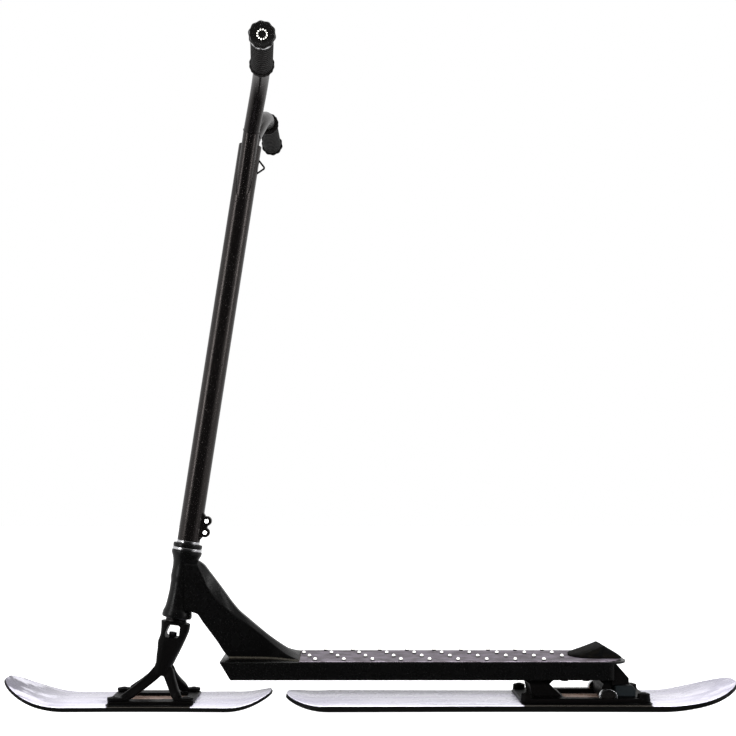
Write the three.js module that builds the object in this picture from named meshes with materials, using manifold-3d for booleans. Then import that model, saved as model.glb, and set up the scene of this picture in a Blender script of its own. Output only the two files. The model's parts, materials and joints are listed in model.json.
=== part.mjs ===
// Snow scooter: a kick-scooter deck, neck, fork and handlebar on two short skis in line.
// Millimetres, +Z up. The nose points to -X, the tail to +X, and the rider's left is -Y.
// Lengths along X are measured from the point where the steering axis meets the ground.
// Pieces on the steering axis are built upright and then leaned with it.

import * as THREE from 'three';
import { mergeVertices } from 'three/addons/utils/BufferGeometryUtils.js';
import Module from 'manifold-3d';

const wasm = await Module();
wasm.setup();

// Gap between neighbours, and how far a cutter runs past what it cuts
const gap = 0.3;
const overrun = 2;

// Steering axis
const steeringLeanDegrees = 8.87;
const steeringLean = THREE.MathUtils.degToRad(steeringLeanDegrees);

// Skis: a flat middle with curved ends
const skiWidth = 142;
const skiBaseSheet = 1.3;
const frontSkiCore = 4;
const rearSkiCore = 6;
const skiTopSheet = 0.8;
const skiSidecut = 3;
const skiEndRound = 62;
const skiTipFlat = 24;
const skiTipThinShare = 0.6;
const frontSkiNoseReach = 219.4;
const frontSkiTailReach = 153.1;
const frontSkiNoseCurve = 95;
const frontSkiNoseRise = 35;
const frontSkiTailCurve = 60;
const frontSkiTailRise = 16.5;
const skiSpacing = 18.8;
const rearSkiTailReach = 185.8;
const rearSkiNoseCurve = 58;
const rearSkiNoseRise = 12;
const rearSkiTailCurve = 118;
const rearSkiTailRise = 30;

// Frames that carry the feet on the skis
const frameHalfWidth = 53.5;
const frameCorner = 9;
const flangeInset = 4.5;
const flangeThickness = 1.4;
const frontFrameHeight = 4.4;
const frontRailWidth = 26.5;
const frontBossRadius = 9.5;
const frontBossHeight = 4.6;
const rearFrameHeight = 6.5;
const rearRailWidth = 16.5;
const rearBossRadius = 8.5;
const rearBossHeight = 6.2;
const bossInset = 9.2;
const frontFrameFront = 70.7;
const frontFrameRear = 47.3;
const frontFrameFrontBar = 16;
const frontFrameRearBar = 14.5;
const rearFrameFront = 120;
const rearFrameRear = 58;
const rearFrameFrontBar = 61.7;
const rearFrameRearBar = 49.8;

// Bolts and inserts that hold the frames
const frameBolt = 6;
const boltHoleClearance = 0.6;
const frameBoltHead = 10.5;
const frameBoltHeadHeight = 3.3;
const headRecess = 2.4;
const insertDiameter = 12;
const insertHeight = 3;
const insertPlateThickness = 1.6;

// Fork: crown casting over a leg casting
const crownTop = 116.3;
const crownRadius = 20.5;
const waistHeight = 54.1;
const forkSeam = 86;
const spigotHeight = 22;
const archTop = 41;
const legRadius = 6.6;
const legFootInset = 12;
const forkBolt = 6;
const forkBoltHead = 10;
const forkBoltHeadHeight = 6;
const forkBoltOffset = 1.6;
const forkNutAcross = 11;
const forkNutHeight = 6.6;

// Steerer tube, bearings and head tube
const steererDiameter = 25.4;
const steererWall = 2.7;
const steererInBars = 68.5;
const raceShown = 6.2;
const raceRadius = 14.8;
const bearingDiameter = 36;
const bearingHeight = 7;
const bearingRecess = 0.8;
const headTubeLength = 94.5;
const headTubeBell = 20.8;
const headTubeWaist = 15.9;
const headTubeCollar = 21;
const headTubeBore = 27;
const cupHeight = 3.9;
const cupRadius = 20.5;
const coverHeight = 5.4;
const coverRadius = 20.35;
const coverBevel = 1.4;
const spacerHeight = 3.7;
const spacerRadius = 16;

// Headset preload inside the bars
const capHeight = 5;
const compressionBolt = 6;
const compressionBoltLength = 34;
const compressionHead = 10;
const starNutDepth = 22;
const starNutHeight = 6;

// Handlebar
const barDiameter = 31.8;
const barWall = 1.6;
const barLength = 559.5;
const slitWidth = 3;
const slitLength = 44.5;
const armDiameter = 22.2;
const armWall = 2;
const armFootDrop = 76;
const armFootSpread = 5;
const armKinkRise = 16;
const armKinkSpread = 20;
const armKinkRound = 14;
const armBendRise = 71.4;
const armBendSpread = 105;
const armBendSetback = 8.1;
const armBendRound = 42;
const armEndRise = -1.4;
const armEndSetback = 13.8;
const barHalfWidth = 286.5;
const barTurnDegrees = 1.8;

// Leash loop on the rear of the bars
const loopWire = 2.6;
const loopDrop = 18.6;
const loopHeight = 19;
const loopReach = 10.5;
const loopSeatShare = 0.25;

// Clamp lugs and bolts
const lugRadius = 6.7;
const lugOffset = 21.1;
const lugFootRise = 1.5;
const lugWebHeight = 41;
const clampBoltRise = 14.7;
const clampBoltSpacing = 16.2;
const lugThickness = 6;
const clampBolt = 5.6;
const clampBoltHead = 9.4;
const clampBoltHeadHeight = 5.5;

// Grips and bar-end plugs
const gripInner = 153;
const gripDiameter = 28.6;
const gripFlangeDiameter = 33;
const gripFlangeWidth = 4.5;
const gripRibCount = 7;
const gripRibDepth = 0.8;
const barEndDiameter = 34;
const barEndThickness = 5;
const barEndSpigotLength = 22;

// Deck
const deckNose = 84.3;
const deckNoseSlant = 15;
const deckPastPivot = 5;
const deckLip = 20.7;
const deckLipRound = 34;
const deckWidth = 128;
const deckTop = 66.5;
const deckHeight = 24.5;
const deckWall = 3;
const deckRibSpread = 22;
const deckRibWall = 2.6;
const deckEdge = 1.5;
const nosePlate = 2.5;

// Neck gusset
const neckFront = 31;
const neckTail = 191;
const neckTop = 203;
const neckHalfWidth = 18;
const neckRidgeHalfWidth = 7;
const neckTailHalfWidth = 52;

// Grip sheet and studs
const sheetThickness = 1;
const sheetFront = 192.2;
const sheetEdge = 3;
const sheetTailInset = 8;
const studDiameter = 5.4;
const studHeight = 4.6;
const studColumns = 10;
const studRows = 4;
const studPitch = 38.9;
const studEdge = 10;
const studStagger = 8.7;
const studStart = 187.9;

// Heel wedge
const wedgeRidgeAhead = 3.3;
const wedgeFrontLength = 45;
const wedgeRearLength = 26;
const wedgeHalfWidth = 36;
const wedgeHeight = 17;
const wedgeLip = 3.4;

// Rear bracket under the tail: reaches ahead of the pivot and behind it
const bracketPlateAhead = 116;
const bracketPlate = 4;
const bracketSideClearance = 2.5;
const bracketLegTopAhead = 73.3;
const bracketFootFrontAhead = 102;
const bracketFootRearAhead = 61;
const bracketWindowTipAhead = 78.5;
const bracketWindowTipDrop = 5;
const bracketRearLegTop = 9.5;
const bracketRearLegNotch = 3.5;
const bracketTailReach = 29;
const tailBlockInset = 8.5;
const tailBlockHeight = 8.9;
const tailBlockTopLength = 5;
const bracketBoltFrontAhead = 52.3;
const bracketBoltRearAhead = 22.3;
const bracketBolt = 6;
const bracketBoltHead = 10;
const bracketBoltHeadHeight = 5;
const nutPlateHeight = 5;
const nutPlateWidth = 30;
const nutPlateEnd = 10;

// Rear pivot, its caps and bushes, and the damper
const pivotX = 614.3;
const pivotRise = 7.1;
const pivotAxle = 8;
const pivotEyeRadius = 6.7;
const capOuterRadius = 12.4;
const capThickness = 2.9;
const capInset = 3.5;
const capWidth = 10.5;
const bushLowerRadius = 5.2;
const bushEnd = 1.6;
const damperFrontReach = 11.7;
const damperLength = 29;
const damperHeight = 15.8;
const damperClearance = 2;
const damperRound = 9;
const damperSideClearance = 2;

// Round counts
const fine = 22;
const medium = 14;
const castSides = 18;
const coarse = 8;
const studSides = 6;
const bendSteps = 4;
const endSteps = 7;
const middleSteps = 8;

// Finishes
function finish(color, roughness, metalness) {
  return new THREE.MeshStandardMaterial({ color, roughness, metalness });
}

const barPaint = finish(0x1d1a19, 0.45, 0.3);
const framePaint = finish(0x141414, 0.42, 0.3);
const castBlack = finish(0x181818, 0.5, 0.3);
const brightSteel = finish(0xc8c8ca, 0.25, 1);
const darkSteel = finish(0x3a3a3c, 0.4, 1);
const gripRubber = finish(0x161616, 0.85, 0);
const plugPlastic = finish(0x101010, 0.4, 0);
const wedgeRubber = finish(0x26251f, 0.8, 0);
const damperRubber = finish(0x565f5f, 0.7, 0);
const sheetGrit = finish(0x96909a, 0.9, 0);
const skiTopLacquer = finish(0xe6e4ec, 0.25, 0);
const skiWood = finish(0x2a241f, 0.6, 0);
const skiBasePlastic = finish(0x111111, 0.35, 0);

// Solids and geometries

function toSolid(geometry) {
  const bare = geometry.clone();
  bare.deleteAttribute('normal');
  bare.deleteAttribute('uv');
  const welded = mergeVertices(bare);
  return new wasm.Manifold(new wasm.Mesh({
    numProp: 3,
    vertProperties: new Float32Array(welded.attributes.position.array),
    triVerts: new Uint32Array(welded.index.array),
  }));
}

function toGeometry(solid) {
  const mesh = solid.getMesh();
  const geometry = new THREE.BufferGeometry();
  geometry.setAttribute('position', new THREE.BufferAttribute(new Float32Array(mesh.vertProperties), 3));
  geometry.setIndex(new THREE.BufferAttribute(new Uint32Array(mesh.triVerts), 1));
  geometry.computeVertexNormals();
  return geometry;
}

const join = (geometries) => geometries.map(toSolid).reduce((all, next) => all.add(next));
const cut = (body, cutters) => cutters.map(toSolid).reduce((left, next) => left.subtract(next), body);
const carve = (geometry, ...cutters) => toGeometry(cut(toSolid(geometry), cutters));

function outline(points, holes = []) {
  const shape = new THREE.Shape(points.map(([a, b]) => new THREE.Vector2(a, b)));
  for (const hole of holes) {
    shape.holes.push(new THREE.Path(hole.map(([a, b]) => new THREE.Vector2(a, b))));
  }
  return shape;
}

function arc(cx, cy, radius, from, to, count) {
  return Array.from({ length: count + 1 }, (unused, i) => {
    const angle = from + ((to - from) * i) / count;
    return [cx + radius * Math.cos(angle), cy + radius * Math.sin(angle)];
  });
}

const circle = (cx, cy, radius, count) => arc(cx, cy, radius, 0, 2 * Math.PI, count).slice(1);

function roundedBox(x0, x1, y0, y1, radius, count = 3) {
  return [
    ...arc(x1 - radius, y0 + radius, radius, -Math.PI / 2, 0, count),
    ...arc(x1 - radius, y1 - radius, radius, 0, Math.PI / 2, count),
    ...arc(x0 + radius, y1 - radius, radius, Math.PI / 2, Math.PI, count),
    ...arc(x0 + radius, y0 + radius, radius, Math.PI, 1.5 * Math.PI, count),
  ];
}

function extruded(points, holes, depth) {
  return new THREE.ExtrudeGeometry(outline(points, holes), { depth, bevelEnabled: false });
}

// An outline in X and Y, raised from z0 to z1
function plate(points, z0, z1, holes = []) {
  const geometry = extruded(points, holes, z1 - z0);
  return geometry.translate(0, 0, z0);
}

// An outline in X and Z, carried from y0 to y1
function slab(points, y0, y1, holes = []) {
  const geometry = extruded(points, holes, y1 - y0);
  return geometry.rotateX(Math.PI / 2).translate(0, y1, 0);
}

// An outline in Y and Z, carried from x0 to x1
function bar(points, x0, x1, holes = []) {
  const geometry = extruded(points, holes, x1 - x0);
  const turn = new THREE.Matrix4().makeBasis(
    new THREE.Vector3(0, 1, 0),
    new THREE.Vector3(0, 0, 1),
    new THREE.Vector3(1, 0, 0),
  );
  return geometry.applyMatrix4(turn).translate(x0, 0, 0);
}

const post = (x, y, radius, z0, z1, count) => plate(circle(x, y, radius, count), z0, z1);
const pin = (x, z, radius, y0, y1, count) => slab(circle(x, z, radius, count), y0, y1);

// Turns the faces of a closed indexed geometry outwards: its volume by the divergence theorem is positive
function outward(geometry) {
  const position = geometry.attributes.position;
  const index = Array.from(geometry.index.array);
  const [a, b, c] = [new THREE.Vector3(), new THREE.Vector3(), new THREE.Vector3()];
  let volume = 0;
  for (let i = 0; i < index.length; i += 3) {
    a.fromBufferAttribute(position, index[i]);
    b.fromBufferAttribute(position, index[i + 1]);
    c.fromBufferAttribute(position, index[i + 2]);
    volume += a.dot(b.cross(c));
  }
  return volume < 0 ? geometry.setIndex(index.reverse()) : geometry;
}

// A closed profile of radius and height, turned about Z
function turned(profile, count) {
  const points = profile.map(([radius, height]) => new THREE.Vector2(radius, height));
  return outward(new THREE.LatheGeometry([...points, points[0]], count).rotateX(Math.PI / 2));
}

function ring(inner, outer, z0, z1, count) {
  return turned([[inner, z0], [outer, z0], [outer, z1], [inner, z1]], count);
}

// Rings of points joined in order into one closed skin with flat ends
function loft(rings) {
  const count = rings[0].length;
  const positions = rings.flat(2);
  const index = [];
  for (let r = 0; r + 1 < rings.length; r += 1) {
    for (let i = 0; i < count; i += 1) {
      const a = r * count + i;
      const b = r * count + ((i + 1) % count);
      index.push(a, b, b + count, a, b + count, a + count);
    }
  }
  const last = (rings.length - 1) * count;
  for (let i = 1; i + 1 < count; i += 1) {
    index.push(0, i + 1, i, last, last + i, last + i + 1);
  }
  const geometry = new THREE.BufferGeometry();
  geometry.setAttribute('position', new THREE.BufferAttribute(new Float32Array(positions), 3));
  return outward(geometry.setIndex(index));
}

// Places and directions along straight runs whose corners are rounded from the given distance on
function roundedPath(points, rounds) {
  const direction = (from, to) => new THREE.Vector3().subVectors(to, from).normalize();
  const last = points.length - 1;
  const bends = points.slice(1, last).flatMap((corner, i) => {
    const entry = corner.clone().add(direction(corner, points[i]).multiplyScalar(rounds[i]));
    const exit = corner.clone().add(direction(corner, points[i + 2]).multiplyScalar(rounds[i]));
    const bend = new THREE.QuadraticBezierCurve3(entry, corner, exit);
    return Array.from({ length: bendSteps + 1 }, (unused, step) => [
      bend.getPoint(step / bendSteps),
      bend.getTangent(step / bendSteps),
    ]);
  });
  return [
    [points[0], direction(points[0], points[1])],
    ...bends,
    [points[last], direction(points[last - 1], points[last])],
  ];
}

// A round rod along a path: each ring is square to the path, and turned as little from the last as can be
function rod(path, radius, count) {
  const across = new THREE.Vector3(1, 0, 0);
  return loft(path.map(([place, tangent]) => {
    across.addScaledVector(tangent, -across.dot(tangent)).normalize();
    const other = new THREE.Vector3().crossVectors(tangent, across);
    return circle(0, 0, radius, count).map(([a, b]) => (
      place.clone().addScaledVector(across, a).addScaledVector(other, b).toArray()
    ));
  }));
}

// The bore of a tube runs a little past both ends of its path
function lengthened(path) {
  const [first, firstTangent] = path[0];
  const [last, lastTangent] = path[path.length - 1];
  return [
    [first.clone().addScaledVector(firstTangent, -overrun), firstTangent],
    ...path.slice(1, -1),
    [last.clone().addScaledVector(lastTangent, overrun), lastTangent],
  ];
}

const lean = (geometry) => geometry.clone().rotateY(steeringLean);

// Values that several pieces share

const coreBottom = skiBaseSheet + gap;

// Levels on one ski, from its core up to the tops of its frame's bosses
function levelsOn(core, frameHeight, bossHeight) {
  const coreTop = coreBottom + core;
  const topSheetBottom = coreTop + gap;
  const skiTop = topSheetBottom + skiTopSheet;
  const frameBottom = skiTop + gap;
  const frameTop = frameBottom + frameHeight;
  const bossBottom = frameTop + gap;
  const bossTop = bossBottom + bossHeight;
  return { coreTop, topSheetBottom, skiTop, frameBottom, frameTop, bossBottom, bossTop };
}
const front = levelsOn(frontSkiCore, frontFrameHeight, frontBossHeight);
const rear = levelsOn(rearSkiCore, rearFrameHeight, rearBossHeight);
const bossSpread = frameHalfWidth - rearBossRadius;
const flangeHalfWidth = skiWidth / 2 - flangeInset;
const frontBossX = [bossInset - frontFrameFront, frontFrameRear - bossInset];
const rearBossX = [pivotX - rearFrameFront + bossInset, pivotX + rearFrameRear - bossInset];
const corners = (xs) => xs.flatMap((x) => [[x, -bossSpread], [x, bossSpread]]);
const cornerNames = ['nose_left', 'nose_right', 'tail_left', 'tail_right'];
const boltHole = (frameBolt + boltHoleClearance) / 2;
const pivotZ = rear.skiTop + pivotRise;
const capFoot = rear.frameTop + gap;
const capOuter = frameHalfWidth - capInset;
const capInner = capOuter - capWidth;
const frontRailInner = frameHalfWidth - frontRailWidth;
const railInner = frameHalfWidth - rearRailWidth;
const bracketHalfWidth = railInner - bracketSideClearance;
const damperTop = capFoot + damperHeight;

const steererRadius = steererDiameter / 2;
const steererBore = steererRadius - steererWall;
const steererBottom = crownTop + gap;
const steererFit = steererRadius + gap;
const headTubeBottom = crownTop + gap + raceShown;
const headTubeTop = headTubeBottom + headTubeLength;
const pocketRadius = bearingDiameter / 2 + gap;
const pocketDepth = bearingRecess + bearingHeight + gap;
const cupBottom = headTubeTop + gap;
const coverBottom = cupBottom + cupHeight + gap;
const spacerBottom = coverBottom + coverHeight + gap;
const barBottom = spacerBottom + spacerHeight + gap;
const barTop = barBottom + barLength;
const steererTop = barBottom + steererInBars;
const barRadius = barDiameter / 2;
const barBore = barRadius - barWall;
const armRadius = armDiameter / 2;

const deckBottom = deckTop - deckHeight;
const deckSideEnd = pivotX + deckPastPivot;
const deckHalfWidth = deckWidth / 2;
const sheetBottom = deckTop + gap;
const sheetTop = sheetBottom + sheetThickness;
const wedgeBottom = sheetTop + gap;
const wedgeRidge = pivotX - wedgeRidgeAhead;
const wedgeFront = wedgeRidge - wedgeFrontLength;
const wedgeRear = wedgeRidge + wedgeRearLength;
const bracketTop = deckBottom - gap;
const sideNames = [['left', -1], ['right', 1]];

// The whole scooter, the part of it that leans with the steering axis, and the bars as clamped on it

const scooter = new THREE.Group();
const leaning = new THREE.Group();
leaning.rotation.y = steeringLean;
scooter.add(leaning);
const bars = new THREE.Group();
bars.rotation.z = THREE.MathUtils.degToRad(barTurnDegrees);
leaning.add(bars);

function add(parent, name, geometry, material) {
  const mesh = new THREE.Mesh(geometry, material);
  mesh.name = name;
  parent.add(mesh);
}

// Skis

// Height of the running surface at x, and its slope
function skiBottom(ski, x) {
  const intoNose = Math.max(0, ski.nose + ski.noseCurve - x) / ski.noseCurve;
  const intoTail = Math.max(0, x - ski.tail + ski.tailCurve) / ski.tailCurve;
  const height = ski.noseRise * intoNose ** 2 + ski.tailRise * intoTail ** 2;
  const noseSlope = (2 * ski.noseRise * intoNose) / ski.noseCurve;
  const slope = (2 * ski.tailRise * intoTail) / ski.tailCurve - noseSlope;
  return { height, slope, thin: 1 - (1 - skiTipThinShare) * Math.max(intoNose, intoTail) };
}

// Places along the ski with the half-width there: round ends and a sidecut waist
function skiStations(ski) {
  const half = skiWidth / 2;
  const firstAngle = Math.asin(skiTipFlat / skiWidth);
  const stations = [];
  const middle = ski.tail - ski.nose - 2 * skiEndRound;
  for (let i = 0; i < endSteps; i += 1) {
    const angle = firstAngle + ((Math.PI / 2 - firstAngle) * i) / endSteps;
    const reach = skiEndRound * (1 - (Math.cos(angle) / Math.cos(firstAngle)));
    stations.push([ski.nose + reach, half * Math.sin(angle)]);
  }
  for (let i = 0; i <= middleSteps; i += 1) {
    const along = i / middleSteps;
    const waist = skiSidecut * Math.sin(Math.PI * along);
    stations.push([ski.nose + skiEndRound + middle * along, half - waist]);
  }
  for (let i = endSteps - 1; i >= 0; i -= 1) {
    const angle = firstAngle + ((Math.PI / 2 - firstAngle) * i) / endSteps;
    const reach = skiEndRound * (1 - (Math.cos(angle) / Math.cos(firstAngle)));
    stations.push([ski.tail - reach, half * Math.sin(angle)]);
  }
  return stations;
}

// One layer of a ski between two depths measured square to the running surface
function skiLayer(ski, low, high) {
  const rings = skiStations(ski).map(([x, half]) => {
    const { height, slope, thin } = skiBottom(ski, x);
    const size = Math.hypot(1, slope);
    const along = -slope / size;
    const up = 1 / size;
    const lowPoint = [x + along * low * thin, height + up * low * thin];
    const highPoint = [x + along * high * thin, height + up * high * thin];
    return [
      [lowPoint[0], -half, lowPoint[1]],
      [highPoint[0], -half, highPoint[1]],
      [highPoint[0], half, highPoint[1]],
      [lowPoint[0], half, lowPoint[1]],
    ];
  });
  return loft(rings);
}

// Plate with four threaded bosses let into the top of the core, and its pocket when grown by a clearance
function insertPlate(bolts, coreTop, top, clearance) {
  const [[x0, y0], [x1, y1]] = [bolts[0], bolts[3]];
  const margin = insertDiameter / 2 + clearance;
  const edge = roundedBox(x0 - margin, x1 + margin, y0 - margin, y1 + margin, margin / 2);
  const sheet = plate(edge, coreTop - insertPlateThickness - clearance, top);
  const bosses = bolts.map(([x, y]) => post(x, y, margin, coreTop - insertHeight - clearance, top, medium));
  return join([sheet, ...bosses]);
}

function addSki(prefix, ski, levels, bolts) {
  const { coreTop, topSheetBottom, skiTop } = levels;
  const holes = bolts.map(([x, y]) => post(x, y, boltHole, 0, skiTop + overrun, coarse));
  const pocket = insertPlate(bolts, coreTop, coreTop + overrun, gap);
  const core = toSolid(skiLayer(ski, coreBottom, coreTop)).subtract(pocket);
  const topSheet = skiLayer(ski, topSheetBottom, skiTop);
  const inserts = cut(insertPlate(bolts, coreTop, coreTop, 0), holes);
  add(scooter, `${prefix}_ski_base`, skiLayer(ski, 0, skiBaseSheet), skiBasePlastic);
  add(scooter, `${prefix}_ski_core`, toGeometry(core), skiWood);
  add(scooter, `${prefix}_ski_topsheet`, carve(topSheet, ...holes), skiTopLacquer);
  add(scooter, `${prefix}_ski_insert_plate`, toGeometry(inserts), brightSteel);
  bolts.forEach((bolt, i) => {
    add(scooter, `${prefix}_bolt_${cornerNames[i]}`, frameBoltAt(bolt, levels), darkSteel);
  });
}

const boltCrownShare = 0.6;

// A button-head bolt from the foot down into the insert
function frameBoltAt([x, y], levels) {
  const seat = levels.bossTop - headRecess + gap;
  const tip = levels.coreTop - insertHeight + gap;
  const head = frameBoltHead / 2;
  const shank = frameBolt / 2;
  const crown = head * boltCrownShare;
  const profile = [
    [0, tip], [shank, tip], [shank, seat], [head, seat],
    [head, seat + frameBoltHeadHeight / 2],
    [crown, seat + frameBoltHeadHeight],
    [0, seat + frameBoltHeadHeight],
  ];
  return turned(profile, coarse).translate(x, y, 0);
}

const frontSki = {
  nose: -frontSkiNoseReach,
  tail: frontSkiTailReach,
  noseCurve: frontSkiNoseCurve,
  noseRise: frontSkiNoseRise,
  tailCurve: frontSkiTailCurve,
  tailRise: frontSkiTailRise,
};
const rearSki = {
  nose: frontSkiTailReach + skiSpacing,
  tail: pivotX + rearSkiTailReach,
  noseCurve: rearSkiNoseCurve,
  noseRise: rearSkiNoseRise,
  tailCurve: rearSkiTailCurve,
  tailRise: rearSkiTailRise,
};
addSki('front', frontSki, front, corners(frontBossX));
addSki('rear', rearSki, rear, corners(rearBossX));

// Frames on the skis

// A ring of rails on a thin flange that reaches nearly to the ski's edges
function frame([x0, x1], [bar0, bar1], inner, levels) {
  const window = roundedBox(x0 + bar0, x1 - bar1, -inner, inner, frameCorner / 2);
  const rails = roundedBox(x0, x1, -frameHalfWidth, frameHalfWidth, frameCorner);
  const flange = roundedBox(x0, x1, -flangeHalfWidth, flangeHalfWidth, frameCorner);
  return join([
    plate(rails, levels.frameBottom, levels.frameTop, [window]),
    plate(flange, levels.frameBottom, levels.frameBottom + flangeThickness, [window]),
  ]);
}

// Bolt hole with a recess for its head
const footCutters = ([x, y], levels) => [
  post(x, y, boltHole, levels.frameBottom - overrun, levels.bossTop + overrun, coarse),
  post(x, y, frameBoltHead / 2 + gap, levels.bossTop - headRecess, levels.bossTop + overrun, coarse),
];

function frontFrame() {
  const body = frame(
    [-frontFrameFront, frontFrameRear], [frontFrameFrontBar, frontFrameRearBar],
    frontRailInner, front,
  );
  return toGeometry(cut(body, corners(frontBossX).map(([x, y]) => (
    post(x, y, boltHole, front.frameBottom - overrun, front.frameTop + overrun, coarse)
  ))));
}
add(scooter, 'front_base_frame', frontFrame(), castBlack);

function rearFrame() {
  const body = frame(
    [pivotX - rearFrameFront, pivotX + rearFrameRear], [rearFrameFrontBar, rearFrameRearBar],
    railInner, rear,
  );
  const bosses = corners(rearBossX).map(([x, y]) => (
    toSolid(post(x, y, rearBossRadius, rear.frameBottom, rear.bossTop, medium))
  ));
  const seats = sideNames.map(([, side]) => {
    const near = side * (railInner - overrun);
    const far = side * capOuter;
    return pin(pivotX, pivotZ, bushLowerRadius + gap, Math.min(near, far), Math.max(near, far), medium);
  });
  const solid = bosses.reduce((all, next) => all.add(next), body);
  return toGeometry(cut(solid, [...corners(rearBossX).flatMap((c) => footCutters(c, rear)), ...seats]));
}
add(scooter, 'rear_base_frame', rearFrame(), castBlack);

// Fork castings, drawn on the leaned axis

// Share of the height from waist to crown, then shares of the crown radius: offset along X and half-sizes
// along X and Y; last, how square the section is
const forkProfileShares = [
  [1.0, 0.0, 1.0, 1.0, 2.0],
  [0.84, 0.03, 0.96, 0.98, 2.2],
  [0.686, -0.015, 0.89, 0.95, 2.6],
  [0.532, -0.127, 0.864, 0.92, 2.8],
  [0.37, -0.18, 0.77, 0.9, 3.0],
  [0.195, -0.263, 0.673, 0.88, 3.0],
  [0.05, -0.317, 0.585, 0.86, 3.0],
  [0.0, -0.38, 0.561, 0.86, 3.0],
];

function superRing(cx, cz, halfX, halfY, power, count) {
  return Array.from({ length: count }, (unused, i) => {
    const angle = (2 * Math.PI * i) / count;
    const c = Math.cos(angle);
    const s = Math.sin(angle);
    const x = cx + halfX * Math.sign(c) * Math.abs(c) ** (2 / power);
    const y = halfY * Math.sign(s) * Math.abs(s) ** (2 / power);
    return [x, y, cz];
  });
}

function forkRingAt(height) {
  const share = (height - waistHeight) / (crownTop - waistHeight);
  const upper = forkProfileShares.findIndex((row, i) => i > 0 && row[0] <= share);
  const row = upper < 0 ? forkProfileShares.length - 1 : upper;
  const [s1, o1, x1, y1, p1] = forkProfileShares[row];
  const [s0, o0, x0, y0, p0] = forkProfileShares[row - 1];
  const mix = (share - s1) / (s0 - s1);
  const blend = (a, b) => b + (a - b) * mix;
  return superRing(
    crownRadius * blend(o0, o1), height,
    crownRadius * blend(x0, x1), crownRadius * blend(y0, y1),
    blend(p0, p1), castSides,
  );
}

function forkBody(low, high) {
  const heights = forkProfileShares.map((row) => waistHeight + row[0] * (crownTop - waistHeight));
  const inside = heights.filter((height) => height > low + gap && height < high - gap).reverse();
  return loft([low, ...inside, high].map(forkRingAt));
}

// Window through the crown: shares of the crown radius along X and of the crown's height above the seam
const forkWindowShares = [
  [-0.47, 0.3], [0.28, 0.3], [0.43, 0.42], [0.41, 0.86], [0.3, 0.91],
  [-0.33, 0.9], [-0.46, 0.68], [-0.56, 0.43], [-0.52, 0.33],
];
const crownHeight = crownTop - forkSeam;
const nutFloor = forkSeam + forkWindowShares[0][1] * crownHeight;
const forkBoltX = -forkBoltOffset;
const forkBoltHole = (forkBolt + boltHoleClearance) / 2;

function forkCrown() {
  const body = forkBody(forkSeam + gap / 2, crownTop);
  const spigot = post(0, 0, steererBore - gap, crownTop - gap, crownTop + spigotHeight, medium);
  const windowPoints = forkWindowShares.map(([a, b]) => [a * crownRadius, forkSeam + b * crownHeight]);
  const window = slab(windowPoints, -crownRadius - overrun, crownRadius + overrun);
  const hole = post(forkBoltX, 0, forkBoltHole, forkSeam - overrun, nutFloor + overrun, coarse);
  return toGeometry(cut(join([body, spigot]), [window, hole]));
}
add(leaning, 'fork_crown', forkCrown(), castBlack);

// A leg from the waist down to its round foot
// Shares: along the reach, out towards the foot's side, up towards the waist, and of the leg's radius
const legPathShares = [
  [0.0, 0.16, 1.0, 1.25],
  [0.22, 0.3, 0.72, 1.1],
  [0.55, 0.62, 0.38, 1.0],
  [0.86, 0.94, 0.1, 0.95],
  [1.0, 1.0, 0.0, 0.8],
];

const legOffsetShare = 1;
const legPower = 2.6;

function leg(bossX, side) {
  const middle = waistHeight * Math.sin(steeringLean) - saddleShares.ahead * crownRadius;
  const waistX = middle + Math.sign(bossX) * legRadius * legOffsetShare;
  const footX = bossX - Math.sign(bossX) * legFootInset;
  const footZ = front.bossBottom + frontBossHeight / 2 + gap;
  const topZ = waistHeight - legRadius;
  const reach = footX - waistX;
  const steep = Math.atan2(topZ - footZ, Math.abs(reach));
  const rings = legPathShares.map(([along, out, up, size]) => {
    const cx = waistX + reach * along;
    const cy = side * bossSpread * out;
    const cz = footZ + (topZ - footZ) * up;
    const tilt = (Math.PI / 2 - steep) * Math.sign(reach);
    return superRing(0, 0, legRadius * size, legRadius * size, legPower, coarse).map(([x, y]) => [
      cx + x * Math.cos(tilt),
      cy + y,
      cz + x * Math.sin(tilt),
    ]);
  });
  return loft(rings.reverse());
}

const boltSeat = archTop + forkBoltHeadHeight + gap;
const saddleShares = { ahead: 0.38, halfX: 0.6, halfY: 0.9 };
const saddlePower = 3;

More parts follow.
